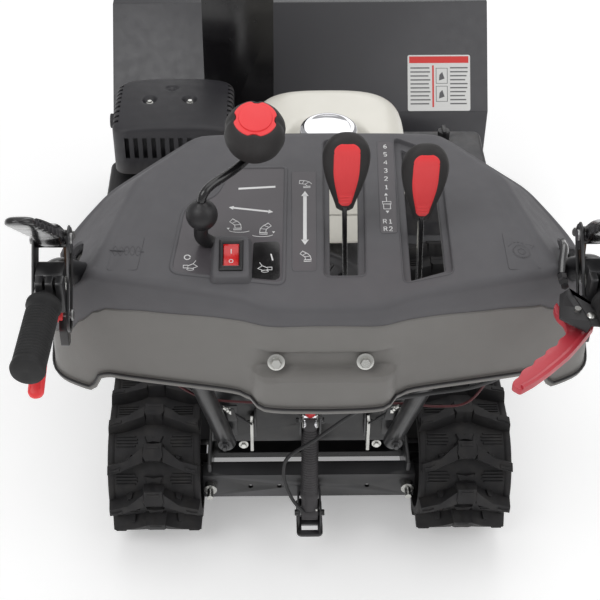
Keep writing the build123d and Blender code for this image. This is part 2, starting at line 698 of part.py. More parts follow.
def recoil_grip():
    """T-handle on the end of the starter rope, resting on the blower housing."""
    with BuildPart() as grip:
        bar("Y", (0, 0, CRANK_Z), 8, -358, -334.5)
        bar("X", (0, -362, CRANK_Z), 10, -42, 42)
        fillet(grip.edges().filter_by(GeomType.CIRCLE).group_by(Axis.X)[0], 5)
        fillet(grip.edges().filter_by(GeomType.CIRCLE).group_by(Axis.X)[-1], 5)
    return grip


def fuel_tank():
    with BuildPart() as tank:
        add(rounded_box((-88, 146), (-330, -86), (500, 648), 48, 30))
        block((-66, 124), (-308, -106), (510, 630), Mode.SUBTRACT)
        bar("Z", (*FILLER, 0), 30, 630, 656)
        bar("Z", (*FILLER, 0), 24, 600, 670, Mode.SUBTRACT)
    return tank


def fuel_cap():
    with BuildPart() as cap:
        bar("Z", (*FILLER, 0), CAP_R, 656.5, 676)
        fillet(cap.edges().group_by(Axis.Z)[-1], 5)
        for index in range(12):
            angle = radians(index * 30)
            place = (FILLER[0] + (CAP_R + 1) * cos(angle), FILLER[1] + (CAP_R + 1) * sin(angle), 666)
            drum("Z", place, 3, 30, Mode.SUBTRACT)
    return cap


def muffler():
    with BuildPart() as box:
        block((-300, -128), (-122, 0), (510, 588))
        fillet(box.edges().filter_by(Axis.Y), 22)
        block((-294, -134), (-116, -6), (518, 580), Mode.SUBTRACT)
        bar("X", (0, -40, 545), 12, -322, -290)
        bar("X", (0, -40, 545), 10, -323, -291, Mode.SUBTRACT)
    return box


def muffler_guard():
    with BuildPart() as guard:
        add(hood_shape((-310, -118), (-138, 16), (506, 600), 2.5, 16, 10))
        bar("X", (0, -40, 545), 14, -330, -300, Mode.SUBTRACT)
        for x in (-246, -184):
            bar("Z", (x, -62, 0), 7, 588, 598)
        for index in range(11):
            x = -296 + 16 * index
            block((x, x + 8), (-150, -124), (530, 584), Mode.SUBTRACT)
        for index in range(5):
            y = -112 + 24 * index
            block((-320, -300), (y, y + 12), (530, 584), Mode.SUBTRACT)
    return guard


def snow_hood():
    """Cover that keeps snow off the carburettor."""
    with BuildPart() as hood:
        add(hood_shape((150, 296), (-165, -4), (398, 500), 2.5, 14, 6))
        bar("Z", (232, -30, 0), 4 + RUN, 480, 510, Mode.SUBTRACT)
    return hood


def choke_knob():
    with BuildPart() as knob:
        bar("Z", (232, -30, 0), 10, 500.5, 516)
        bar("Z", (232, -30, 0), 4, 470, 505)
        block((229, 235), (-41, -19), (512, 520))
    return knob


def starter_box():
    """Housing of the electric starter's switch, beside the cylinder."""
    with BuildPart() as box:
        add(rounded_box((-322, -224), (-228, -72), (404, 490), 14, 8))
        block((-317, -229), (-223, -77), (410, 484), Mode.SUBTRACT)
    return box


# ---------------------------------------------------------------- console
def console_outline(inset):
    right = [(150, -505), (229, -528), (300, -556), (318, -585), (323, -690), (312, -712),
             (250, -742), (118, -768), (90, -790)]
    points = [(x - inset * (x > 295), y - inset if y > -650 else y + inset) for x, y in right]
    return points + [(-x, y) for x, y in reversed(points)]


def console_cutters(drop):
    """Planes of the sloping deck, the two shoulders and the front corners, lowered by the wall."""
    deck = deck_plane(0, DECK_Y[0]).move(Location((0, 0, -drop)))
    shoulders = []
    for side in (-1, 1):
        front = Vector(side * 196, -520, deck_height(-520) - drop)
        rear = Vector(side * 262, -735, deck_height(-735) - drop)
        low = Vector(side * 322, -600, 704 - drop)
        normal = (rear - front).cross(low - front)
        if normal.Z < 0:
            normal = normal * -1
        shoulders.append(Plane(origin=front, z_dir=normal))
        shoulders.append(Plane(origin=(side * 137, -507, 821 - drop), z_dir=(side * 0.53, 0.41, 0.745)))
    return [deck] + shoulders


def console_solid(inset, rounding):
    with BuildPart() as body:
        with BuildSketch(Plane.XY.offset(596 - 10 * inset)):
            Polygon(*console_outline(inset), align=None)
        extrude(amount=264 + 10 * inset)
        fillet(body.edges().filter_by(Axis.Z), rounding)
        for plane in console_cutters(inset):
            split(bisect_by=plane, keep=Keep.BOTTOM)
    return body.part


def parting(low):
    """Everything under (or over) the line where the two console shells meet."""
    right = [(180, 742), (255, 733), (300, 690), (360, 668)]
    line = [(-x, z) for x, z in reversed(right)] + right
    closing = [(360, 400), (-360, 400)] if low else [(360, 1000), (-360, 1000)]
    with BuildPart() as region:
        with BuildSketch(Plane.XZ.offset(300)):
            Polygon(*(line + closing), align=None)
        extrude(amount=700)
    return region.part


def handle_sweep(radius, side):
    with BuildPart() as tube:
        with BuildLine() as line:
            FilletPolyline(*[(side * x, y, z) for x, y, z in HANDLE_PATH], radius=38)
        with BuildSketch(Plane(origin=line.line @ 0, z_dir=line.line % 0)):
            Circle(radius)
        sweep()
    return tube.part


def console_shell():
    outer = console_solid(0, 8)
    inner = console_solid(SKIN, 5)
    clearances = [handle_sweep(TUBE_R + 4, side) for side in (-1, 1)]
    return outer - inner - clearances[0] - clearances[1]


def console_upper(shell):
    with BuildPart() as upper:
        add(shell)
        add(parting(low=True), mode=Mode.SUBTRACT)
        # lever slots and the crank guide's hole
        block((17, 45), (-741, -538), (700, 900), Mode.SUBTRACT)
        block((104, 136), (-750, -530), (700, 900), Mode.SUBTRACT)
        bar("Z", (-115, -672, 0), 9 + RUN, 760, 830, Mode.SUBTRACT)
        # raised cup with the switch opening through it
        with BuildSketch(deck_plane(*SWITCH).offset(-2)):
            RectangleRounded(48, 68, 6)
        extrude(amount=2 + CUP_RISE)
        with BuildSketch(deck_plane(*SWITCH).offset(-20)):
            Rectangle(21, 34)
        extrude(amount=40, mode=Mode.SUBTRACT)
        # cross rod under the deck that both console levers turn on, with its posts
        bar("X", (0, LEVER_Y, LEVER_Z), 5, -20, 172)
        for x in (-20, 66, 166):
            block((x, x + 6), (LEVER_Y - 10, LEVER_Y + 10), (LEVER_Z - 8, 790))
    return upper


def console_lower(shell):
    with BuildPart() as lower:
        add(shell)
        add(parting(low=False), mode=Mode.SUBTRACT)
        # the skirt is deeper at its ends, and its edge rises towards the front
        block((-271, 271), (-900, -400), (500, 631), Mode.SUBTRACT)
        with BuildSketch(Plane.YZ):
            Polygon((-400, 400), (-690, 400), (-690, 604), (-505, 716), (-400, 716), align=None)
        extrude(amount=400, both=True, mode=Mode.SUBTRACT)
        # holes for the two bolts
        for x in (-53, 53):
            bar("Y", (x, 0, 690), 5 + RUN, -800, -770, Mode.SUBTRACT)
    return lower


def chassis_bolts():
    """Two bolts through the console's skirt and one through each handle tube."""
    with BuildPart() as bolts:
        for x in (-53, 53):
            bar("Y", (x, 0, 690), 5, -793, -776)
            bar("Y", (x, 0, 690), 11, -792.5, -790)
            with BuildSketch(Plane(origin=(x, -792, 690), x_dir=(1, 0, 0), z_dir=(0, -1, 0))):
                RegularPolygon(8.5, 6)
            extrude(amount=7)
        for side in (-1, 1):
            place = (side * 133, 0, 225)
            bar("Y", place, 5, -482, -432)
            with BuildSketch(Plane(origin=(side * 133, -475, 225), x_dir=(1, 0, 0), z_dir=(0, -1, 0))):
                RegularPolygon(9, 6)
            extrude(amount=7)
    return bolts


def handlebars():
    with BuildPart() as bars:
        for side in (-1, 1):
            add(handle_sweep(TUBE_R, side))
            add(handle_sweep(TUBE_R - 2.5, side), mode=Mode.SUBTRACT)
            bar("Y", (side * 133, 0, 225), 5 + RUN, -500, -400, Mode.SUBTRACT)
    return bars


def grip_plane(side, y):
    """A plane square to the last stretch of a handle tube."""
    start, end = Vector(*HANDLE_PATH[-2]), Vector(*HANDLE_PATH[-1])
    share = (y - start.Y) / (end.Y - start.Y)
    place = start + (end - start) * share
    along = (end - start).normalized()
    return Plane(origin=(side * place.X, place.Y, place.Z), z_dir=(side * along.X, along.Y, along.Z))


def hand_grips():
    with BuildPart() as grips:
        for side in (-1, 1):
            with BuildSketch(grip_plane(side, -808)):
                Circle(GRIP_R)
                Circle(TUBE_R, mode=Mode.SUBTRACT)
            extrude(amount=98)
            with BuildSketch(grip_plane(side, -905.5)):
                Circle(GRIP_R + 1)
            extrude(amount=4)
    return grips


def lever_brackets():
    """Two cheeks on a clamp round each handle tube, with the levers' pivot pins."""
    with BuildPart() as brackets:
        for side in (-1, 1):
            for x in (281, 320):
                with BuildSketch(Plane.YZ.offset(side * (x + 1.5))):
                    with BuildLine():
                        Polyline((-800, 748), (-800, 790), (-752, 842), (-718, 842), (-718, 800),
                                 (-756, 748), close=True)
                    make_face()
                extrude(amount=1.5, both=True)
            block(span(side, 283, 321), (-800, -782), (774, 818))
            bar("X", (0, *CLUTCH_PIVOT), 4, *span(side, 280, 326))
            bar("X", (0, *TRIGGER_PIVOT), 4, *span(side, 280, 326))
            add(handle_sweep(TUBE_R + 0.2, side), mode=Mode.SUBTRACT)
        # tab for the tilt release lever
        block((258, 283), (-822, -792), (766, 770))
        bar("Z", (272, -810, 0), 4, 754, 768)
    return brackets


def clutch_lever(side):
    """Squeeze lever over a grip, standing up at rest."""
    rise = radians(CLUTCH_RISE)
    side_view = Plane(origin=(side * 302, *CLUTCH_PIVOT), x_dir=(0, -cos(rise), sin(rise)), z_dir=(-1, 0, 0))
    with BuildPart() as lever:
        with BuildSketch(side_view):
            with BuildLine():
                Polyline((0, 10), (14, 15), (60, 13), (186, 8), (193, 2), (187, -3), (24, -6), (10, -9),
                         (0, -9), close=True)
            make_face()
        extrude(amount=16, both=True)
        bar("X", (0, *CLUTCH_PIVOT), 10, *span(side, 285, 319))
        bar("X", (0, *CLUTCH_PIVOT), 4 + RUN, *span(side, 270, 330), Mode.SUBTRACT)
    return lever


def steering_trigger(side):
    """Finger trigger under a grip, hanging down at rest."""
    with BuildPart() as trigger:
        with BuildSketch(Plane.YZ.offset(side * 304)):
            with BuildLine():
                Polyline((-785, 770), (-812, 766), (-880, 750), (-893, 738), (-884, 732), (-850, 738),
                         (-812, 748), (-785, 754), close=True)
            make_face()
        extrude(amount=11, both=True)
        bar("X", (0, *TRIGGER_PIVOT), 8, *span(side, 290, 318))
        bar("X", (0, *TRIGGER_PIVOT), 4 + RUN, *span(side, 270, 330), Mode.SUBTRACT)
    return trigger


def tilt_lever():
    """Red finger lever that releases the gas strut."""
    with BuildPart() as lever:
        with BuildSketch(Plane.XY.offset(755)):
            with BuildLine():
                Polyline((284, -812), (280, -800), (262, -799), (240, -816), (222, -838), (205, -862),
                         (199, -882), (212, -886), (226, -874), (246, -848), (266, -826), close=True)
            make_face()
        extrude(amount=9)
        bar("Z", (272, -810, 0), 4 + RUN, 740, 780, Mode.SUBTRACT)
    return lever


def stem_and_knob(x, knob_top):
    """Flat lever with a tear-drop knob, standing on a pivot boss in the console."""
    with BuildPart() as lever:
        block((x - 2.5, x + 2.5), (LEVER_Y - 11, LEVER_Y + 11), (LEVER_Z, knob_top - 60))
        bar("X", (0, LEVER_Y, LEVER_Z), 14, x - 8, x + 8)
        with BuildSketch(Plane.XZ.offset(-LEVER_Y - 12)):
            with Locations((x, knob_top - 28)):
                Circle(27)
            with BuildLine():
                Polyline((x - 25, knob_top - 38), (x - 11, knob_top - 100), (x + 11, knob_top - 100),
                         (x + 25, knob_top - 38), close=True)
            make_face()
        extrude(amount=24)
        bar("X", (0, LEVER_Y, LEVER_Z), 5 + RUN, x - 20, x + 20, Mode.SUBTRACT)
    return lever


def crank_guide():
    """Bent tube from the deck up to the ball that the chute crank turns in."""
    with BuildPart() as guide:
        with BuildLine() as line:
            FilletPolyline((-115, -672, 730), (-115, -672, 800), (-137, -703, 828), CRANK_HEAD, radius=6)
        with BuildSketch(Plane(origin=line.line @ 0, z_dir=line.line % 0)):
            Circle(9)
        sweep()
        with Locations(CRANK_HEAD):
            Sphere(18)
        bar("Z", CRANK_HEAD, 5 + RUN, 836, 870, Mode.SUBTRACT)
    return guide


def crank_handle():
    with BuildPart() as crank:
        with BuildLine() as line:
            FilletPolyline(*CRANK_PATH, radius=9)
        with BuildSketch(Plane(origin=line.line @ 0, z_dir=line.line % 0)):
            Circle(5)
        sweep()
    return crank


def crank_knob():
    with BuildPart() as knob:
        with Locations(KNOB_MID):
            Sphere(KNOB_R)
        with BuildLine() as line:
            FilletPolyline(*CRANK_PATH, radius=9)
        with BuildSketch(Plane(origin=line.line @ 0, z_dir=line.line % 0)):
            Circle(5)
        sweep(mode=Mode.SUBTRACT)
    return knob


def switch_rocker():
    pivot = deck_plane(*SWITCH).offset(ROCKER_PIVOT).origin
    with BuildPart() as rocker:
        with BuildSketch(deck_plane(*SWITCH)):
            Rectangle(18.4, 30)
        extrude(amount=CUP_RISE + 3)
        bar("X", pivot, 2.5, SWITCH[0] - 10.2, SWITCH[0] + 10.2)
    return rocker


def headlight():
    with BuildPart() as lamp:
        block((-50, 50), (-505, -478), (752, 800))
        fillet(lamp.edges().filter_by(Axis.Y), 12)
        block((-46, 46), (-486, -470), (756, 796), Mode.SUBTRACT)
    return lamp


def linkage_arm(side):
    """Arm that a clutch cable pulls on the frame's rear bracket."""
    with BuildPart() as arm:
        with BuildSketch(Plane.YZ.offset(side * 91)):
            with BuildLine():
                Polyline((-432, 250), (-440, 256), (-450, 252), (-453, 244), (-458, 196), (-450, 192),
                         (-442, 196), (-434, 236), close=True)
            make_face()
        extrude(amount=2.5, both=True)
        bar("X", (0, -442, 244), 4 + RUN, *span(side, 80, 100), Mode.SUBTRACT)
    return arm


# ---------------------------------------------------------------- output
def all_parts():
    shell = console_shell()
    return {
        "track_frame": track_frame(),
        "left_track_belt": track_belt(-1),
        "right_track_belt": track_belt(1),
        "tension_bolts": tension_bolts(),
        "left_drive_wheel": drive_wheel(-1),
        "right_drive_wheel": drive_wheel(1),
        "left_idler": idler(-1),
        "right_idler": idler(1),
        "strut_cylinder": strut_cylinder(),
        "strut_rod": strut_rod(),
        "main_frame": main_frame(),
        "bottom_cover": bottom_cover(),
        "crankshaft": crankshaft(),
        "friction_disc": friction_disc(),
        "hex_shaft": hex_shaft(),
        "friction_wheel": friction_wheel(),
        "final_drive": final_drive(),
        "drive_belts": drive_belts(),
        "auger_housing": auger_housing(),
        "impeller_housing": impeller_housing(),
        "impeller": impeller(),
        "auger_gearbox": auger_gearbox(),
        "auger_shaft": auger_shaft(),
        "augers": augers(),
        "scraper_bar": scraper_bar(),
        "skid_shoes": skid_shoes(),
        "chute": chute(),
        "deflector": deflector(),
        "chute_worm": chute_worm(),
        "belt_cover": belt_cover(),
        "engine_block": engine_block(),
        "blower_housing": blower_housing(),
        "recoil_grip": recoil_grip(),
        "fuel_tank": fuel_tank(),
        "fuel_cap": fuel_cap(),
        "muffler": muffler(),
        "muffler_guard": muffler_guard(),
        "snow_hood": snow_hood(),
        "choke_knob": choke_knob(),
        "starter_box": starter_box(),
        "console_upper": console_upper(shell),
        "console_lower": console_lower(shell),
        "chassis_bolts": chassis_bolts(),
        "handlebars": handlebars(),
        "hand_grips": hand_grips(),
        "lever_brackets": lever_brackets(),
        "auger_clutch_lever": clutch_lever(-1),
        "drive_clutch_lever": clutch_lever(1),
        "left_steering_trigger": steering_trigger(-1),
        "right_steering_trigger": steering_trigger(1),
        "tilt_lever": tilt_lever(),
        "deflector_lever": stem_and_knob(LEVER_X[0], 930),
        "speed_lever": stem_and_knob(LEVER_X[1], 915),
        "crank_guide": crank_guide(),
        "crank_handle": crank_handle(),
        "crank_knob": crank_knob(),
        "switch_rocker": switch_rocker(),
        "headlight": headlight(),
        "left_linkage_arm": linkage_arm(-1),
        "right_linkage_arm": linkage_arm(1),
    }


os.makedirs("parts", exist_ok=True)
for node, piece in all_parts().items():
    placed = piece.part.moved(Location(ORIGIN_SHIFT))
    placed.label = node
    export_step(placed, f"parts/{node}.step")
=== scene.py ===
import json
import math
import random

import bmesh
import bpy
from mathutils import Matrix, Vector


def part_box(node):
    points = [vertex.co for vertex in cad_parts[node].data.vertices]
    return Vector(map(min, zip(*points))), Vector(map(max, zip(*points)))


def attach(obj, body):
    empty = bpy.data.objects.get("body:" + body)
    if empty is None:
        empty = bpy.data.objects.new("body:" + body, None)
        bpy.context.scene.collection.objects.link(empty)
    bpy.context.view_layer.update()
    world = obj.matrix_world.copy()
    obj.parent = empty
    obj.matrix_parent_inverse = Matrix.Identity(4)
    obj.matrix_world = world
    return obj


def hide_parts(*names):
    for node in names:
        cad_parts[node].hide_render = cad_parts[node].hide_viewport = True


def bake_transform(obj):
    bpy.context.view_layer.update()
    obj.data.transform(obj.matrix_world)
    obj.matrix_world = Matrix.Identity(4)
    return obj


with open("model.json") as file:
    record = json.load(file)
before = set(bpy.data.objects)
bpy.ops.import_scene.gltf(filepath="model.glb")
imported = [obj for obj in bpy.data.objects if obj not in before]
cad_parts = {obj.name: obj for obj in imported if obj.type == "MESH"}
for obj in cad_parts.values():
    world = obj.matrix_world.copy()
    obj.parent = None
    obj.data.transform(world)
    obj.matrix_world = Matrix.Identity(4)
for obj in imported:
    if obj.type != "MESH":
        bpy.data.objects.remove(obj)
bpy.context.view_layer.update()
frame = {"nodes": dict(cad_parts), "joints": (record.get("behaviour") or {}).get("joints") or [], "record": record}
NODE_BODY = {node: body for body, nodes in frame["record"]["behaviour"]["bodies"].items() for node in nodes}
JOINTS = {joint["name"]: joint for joint in frame["joints"]}
AXLE = Vector(JOINTS["body_tilt"]["pos_m"])
random.seed(7)


def at(x, y, z):
    """Millimetres from the ground point under the drive axle, as metres in the frame."""
    return Vector((x / 1000, AXLE.y + y / 1000, z / 1000))


# ---------------------------------------------------------------- materials
def srgb(r, g, b):
    """Display colour (0 to 255) as linear colour."""
    def linear(value):
        value /= 255
        return value / 12.92 if value <= 0.04045 else ((value + 0.055) / 1.055) ** 2.4
    return (linear(r), linear(g), linear(b), 1)


def material(name, colour, rough, metal=0.0, grain=1500, bump=0.06, mottle=0.12, mottle_scale=9,
             rough_spread=0.12, coat=0.0, wear=None, grime=0.0, spec=0.5):
    """A painted, moulded or plated surface: mottled colour, uneven gloss and a fine grain."""
    mat = bpy.data.materials.new(name)
    mat.use_nodes = True
    tree = mat.node_tree
    nodes, links = tree.nodes, tree.links
    shader = nodes["Principled BSDF"]
    shader.inputs["Metallic"].default_value = metal
    shader.inputs["Coat Weight"].default_value = coat
    shader.inputs["Coat Roughness"].default_value = 0.18
    shader.inputs["Specular IOR Level"].default_value = spec
    where = nodes.new("ShaderNodeTexCoord")

    def noise(scale, detail=4):
        node = nodes.new("ShaderNodeTexNoise")
        node.inputs["Scale"].default_value = scale
        node.inputs["Detail"].default_value = detail
        links.new(where.outputs["Object"], node.inputs["Vector"])
        return node.outputs["Fac"]

    def ramp(source, low, high, low_at=0.3, high_at=0.7):
        node = nodes.new("ShaderNodeMapRange")
        node.inputs["From Min"].default_value = low_at
        node.inputs["From Max"].default_value = high_at
        node.inputs["To Min"].default_value = low
        node.inputs["To Max"].default_value = high
        links.new(source, node.inputs["Value"])
        return node.outputs["Result"]

    def mix(fac, a, b):
        node = nodes.new("ShaderNodeMix")
        node.data_type = "RGBA"
        for socket, value in ((node.inputs[0], fac), (node.inputs[6], a), (node.inputs[7], b)):
            if isinstance(value, tuple):
                socket.default_value = value
            else:
                links.new(value, socket)
        return node.outputs[2]

    dark = tuple(c * (1 - mottle) for c in colour[:3]) + (1,)
    light = tuple(min(1, c * (1 + mottle)) for c in colour[:3]) + (1,)
    tint = mix(ramp(noise(mottle_scale), 0, 1), dark, light)
    if grime:
        dust = srgb(150, 143, 132)
        tint = mix(ramp(noise(38, 8), 0, grime, 0.45, 0.75), tint, dust)
    if wear:
        edges = nodes.new("ShaderNodeNewGeometry")
        worn = ramp(edges.outputs["Pointiness"], 0, 0.7, 0.53, 0.60)
        tint = mix(worn, tint, wear)
    links.new(tint, shader.inputs["Base Color"])
    links.new(ramp(noise(60, 6), rough - rough_spread / 2, rough + rough_spread / 2),
              shader.inputs["Roughness"])
    relief = nodes.new("ShaderNodeBump")
    relief.inputs["Strength"].default_value = bump * 4
    relief.inputs["Distance"].default_value = 0.0003
    links.new(noise(grain, 2), relief.inputs["Height"])
    links.new(relief.outputs["Normal"], shader.inputs["Normal"])
    return mat


MATS = {
    "shell": material("shell_plastic", srgb(88, 87, 90), 0.62, grain=2600, bump=0.10, mottle=0.05),
    "skirt": material("skirt_plastic", srgb(116, 114, 111), 0.50, grain=2600, bump=0.08, mottle=0.05),
    "black": material("black_plastic", srgb(34, 33, 35), 0.42, grain=2200, bump=0.09, mottle=0.15),
    "gloss_black": material("gloss_black", srgb(20, 19, 21), 0.22, grain=900, bump=0.02, coat=0.4),
    "knob": material("knob_rubber", srgb(40, 38, 38), 0.60, grain=1800, bump=0.14, mottle=0.15),
    "red": material("red_plastic", srgb(240, 62, 66), 0.42, grain=2400, bump=0.06, mottle=0.07),
    "rocker_red": material("rocker_red", srgb(214, 34, 36), 0.16, grain=900, bump=0.01, mottle=0.04,
                           coat=0.6),
    "bronze": material("bronze_cam", srgb(96, 74, 60), 0.42, metal=0.8, grain=700, bump=0.12, mottle=0.25),
    "lever_red": material("lever_red", srgb(190, 56, 68), 0.38, grain=1500, bump=0.04, mottle=0.08, coat=0.1),
    "paint": material("black_paint", srgb(20, 20, 22), 0.34, grain=420, bump=0.05, coat=0.25,
                      wear=srgb(80, 80, 82), grime=0.05),
    "bucket": material("bucket_paint", srgb(44, 43, 48), 0.40, grain=420, bump=0.05, coat=0.2,
                       mottle=0.06, wear=srgb(96, 96, 98)),
    "pan": material("grey_pan", srgb(42, 41, 45), 0.45, grain=500, bump=0.06, grime=0.12,
                    wear=srgb(110, 110, 110)),
    "muffler": material("muffler_paint", srgb(42, 41, 45), 0.50, grain=1100, bump=0.12, mottle=0.12,
                        wear=srgb(84, 82, 82)),
    "rubber": material("track_rubber", srgb(27, 26, 28), 0.70, grain=900, bump=0.20, mottle=0.14,
                       mottle_scale=24, grime=0.05),
    "grip": material("grip_rubber", srgb(26, 26, 27), 0.66, grain=1600, bump=0.16, mottle=0.12),
    "zinc": material("zinc_plate", srgb(190, 190, 186), 0.30, metal=1.0, grain=700, bump=0.05,
                     mottle=0.14, mottle_scale=60, wear=srgb(230, 230, 226)),
    "steel": material("bare_steel", srgb(150, 150, 150), 0.34, metal=1.0, grain=600, bump=0.06, mottle=0.12),
    "chrome": material("chrome", srgb(215, 215, 218), 0.10, metal=1.0, grain=300, bump=0.01, mottle=0.04,
                       rough_spread=0.05),
    "alloy": material("cast_alloy", srgb(150, 150, 150), 0.46, metal=0.9, grain=520, bump=0.22, mottle=0.12,
                      grime=0.06),
    "iron": material("cast_iron", srgb(70, 70, 72), 0.55, metal=0.7, grain=420, bump=0.3, mottle=0.2),
    "cream": material("cream_tank", srgb(222, 219, 209), 0.34, grain=700, bump=0.05, mottle=0.03, coat=0.15),
    "plate": material("decal_plate", srgb(76, 72, 76), 0.36, grain=1400, bump=0.03, mottle=0.04, coat=0.2),
    "plate_black": material("decal_black", srgb(22, 21, 22), 0.20, grain=900, bump=0.02, coat=0.6),
    "ink": material("white_ink", srgb(225, 225, 225), 0.5, grain=900, bump=0.02, mottle=0.02),
    "ink_red": material("red_ink", srgb(220, 60, 56), 0.5, grain=900, bump=0.02, mottle=0.02),
    "label": material("label_white", srgb(226, 226, 224), 0.40, grain=900, bump=0.02, mottle=0.02, coat=0.2),
    "ink_grey": material("grey_ink", srgb(96, 96, 98), 0.5, grain=900, bump=0.02, mottle=0.02),
    "disc": material("machined_disc", srgb(170, 170, 172), 0.30, metal=1.0, grain=320, bump=0.08),
    "boot": material("strut_boot", srgb(60, 58, 60), 0.55, grain=1200, bump=0.10, mottle=0.10),
    "cable": material("cable_sheath", srgb(26, 26, 28), 0.42, grain=1200, bump=0.06),
    "cable_red": material("cable_stripe", srgb(74, 16, 22), 0.46, grain=1200, bump=0.05),
}


# ---------------------------------------------------------------- mesh helpers
def make(name, bm, mat, body, smooth=40, weld=False, modifiers=()):
    """Turns a bmesh into a piece that rides on a body."""
    if weld:
        bmesh.ops.remove_doubles(bm, verts=bm.verts, dist=1e-6)
    bmesh.ops.recalc_face_normals(bm, faces=bm.faces)
    mesh = bpy.data.meshes.new(name)
    bm.to_mesh(mesh)
    bm.free()
    obj = bpy.data.objects.new(name, mesh)
    bpy.context.scene.collection.objects.link(obj)
    mesh.materials.append(MATS[mat])
    for add in modifiers:
        add(obj)
    if modifiers:
        apply_modifiers(obj)
    shade(obj, smooth)
    if body:
        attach(obj, body)
    return obj


def shade(obj, angle):
    mesh = obj.data
    mesh.shade_smooth()
    mesh.set_sharp_from_angle(angle=math.radians(angle))


def apply_modifiers(obj):
    bpy.context.view_layer.update()
    graph = bpy.context.evaluated_depsgraph_get()
    mesh = bpy.data.meshes.new_from_object(obj.evaluated_get(graph))
    old = obj.data
    obj.modifiers.clear()
    obj.data = mesh
    bpy.data.meshes.remove(old)


def bevel(width, segments=2, angle=35):
    def add(obj):
        mod = obj.modifiers.new("bevel", "BEVEL")
        mod.width = width / 1000
        mod.segments = segments
        mod.limit_method = "ANGLE"
        mod.angle_limit = math.radians(angle)
        mod.use_clamp_overlap = True
        mod.harden_normals = False
    return add


def solidify(thickness, offset=-1):
    def add(obj):
        mod = obj.modifiers.new("wall", "SOLIDIFY")
        mod.thickness = thickness / 1000
        mod.offset = offset
    return add


def cut(cutters):
    def add(obj):
        for tool in cutters:
            mod = obj.modifiers.new("cut", "BOOLEAN")
            mod.operation = "DIFFERENCE"
            mod.object = tool
            mod.solver = "EXACT"
    return add


def cutter(rings):
    """A closed shape that cut() takes away."""
    bm = bmesh.new()
    ring_strip(bm, rings)
    bmesh.ops.recalc_face_normals(bm, faces=bm.faces)
    mesh = bpy.data.meshes.new("cutter")
    bm.to_mesh(mesh)
    bm.free()
    obj = bpy.data.objects.new("cutter", mesh)
    bpy.context.scene.collection.objects.link(obj)
    return obj


def remove(objects):
    for obj in objects:
        bpy.data.objects.remove(obj)


def ring_strip(bm, rings, closed=True, cap=True):
    """Quads between successive rings of points; the ends are closed by faces if asked."""
    made = [[bm.verts.new(p) for p in ring] for ring in rings]
    count = len(made[0])
    for low, high in zip(made, made[1:]):
        for i in range(count if closed else count - 1):
            j = (i + 1) % count
            bm.faces.new((low[i], low[j], high[j], high[i]))
    if cap:
        bm.faces.new(list(reversed(made[0])))
        bm.faces.new(made[-1])
    return made


def frame_along(points):
    """Points with a tangent and two normals that don't twist."""
    out = []
    side = None
    for i, p in enumerate(points):
        ahead = points[min(i + 1, len(points) - 1)] - points[max(i - 1, 0)]
        ahead.normalize()
        if side is None:
            side = ahead.orthogonal().normalized()
        side = (side - ahead * side.dot(ahead)).normalized()
        out.append((p, ahead, side, ahead.cross(side)))
    return out


def curve_points(points, steps=10):
    """A smooth line through the points (Catmull-Rom)."""
    pts = [Vector(p) for p in points]
    pts = [pts[0] * 2 - pts[1]] + pts + [pts[-1] * 2 - pts[-2]]
    out = []
    for a, b, c, d in zip(pts, pts[1:], pts[2:], pts[3:]):
        for k in range(steps):
            t = k / steps
            out.append(0.5 * (2 * b + (c - a) * t + (2 * a - 5 * b + 4 * c - d) * t * t
                              + (3 * b - a - 3 * c + d) * t ** 3))
    out.append(pts[-2])
    return out


def tube_mesh(bm, points, radius, sides=14):
    """A round bar along points; radius is a number or a function of the share along it."""
    rings = []
    for i, (p, _, u, v) in enumerate(frame_along(points)):
        share = i / (len(points) - 1)
        r = radius(share) if callable(radius) else radius
        rings.append([p + (u * math.cos(a) + v * math.sin(a)) * (r / 1000)
                      for a in (2 * math.pi * k / sides for k in range(sides))])
    ring_strip(bm, rings)


def tube(name, points, radius, mat, body, sides=14, steps=8, straight=False):
    bm = bmesh.new()
    line = [Vector(p) for p in points] if straight else curve_points(points, steps)
    tube_mesh(bm, line, radius, sides)
    return make(name, bm, mat, body)


def turned(bm, profile, centre, axis=(0, 0, 1), steps=40, wobble=None):
    """Revolves (radius, height) points, in millimetres, about an axis through centre."""
    axis = Vector(axis).normalized()
    u = axis.orthogonal().normalized()
    v = axis.cross(u)
    rings = []
    for radius, height in profile:
        ring = []
        for k in range(steps):
            a = 2 * math.pi * k / steps
            r = max(radius, 0.01) * (wobble(a, height) if wobble else 1)
            ring.append(centre + axis * (height / 1000) + (u * math.cos(a) + v * math.sin(a)) * (r / 1000))
        rings.append(ring)
    ring_strip(bm, rings)


def prism(bm, outline, thickness, place):
    """Extrudes a flat outline (x, y in millimetres) and puts it where the matrix says."""
    rings = []
    for h in (0, thickness / 1000):
        rings.append([place @ Vector((x / 1000, y / 1000, h)) for x, y in outline])
    ring_strip(bm, rings)


def rounded(points, radius, steps=5):
    """An outline with its corners rounded; radius is one number or one for each corner."""
    out = []
    count = len(points)
    for i in range(count):
        r = radius[i] if isinstance(radius, (list, tuple)) else radius
        p = Vector(points[i])
        a, b = (Vector(points[i - 1]) - p), (Vector(points[(i + 1) % count]) - p)
        reach = min(r, a.length * 0.48, b.length * 0.48)
        if reach < 0.05:
            out.append(tuple(p))
            continue
        start, end = p + a.normalized() * reach, p + b.normalized() * reach
        for k in range(steps + 1):
            t = k / steps
            q = start * (1 - t) ** 2 + p * 2 * t * (1 - t) + end * t * t
            out.append(tuple(q))
    return out


def hexagon(radius):
    return [(radius * math.cos(math.radians(60 * k)),
             radius * math.sin(math.radians(60 * k))) for k in range(6)]


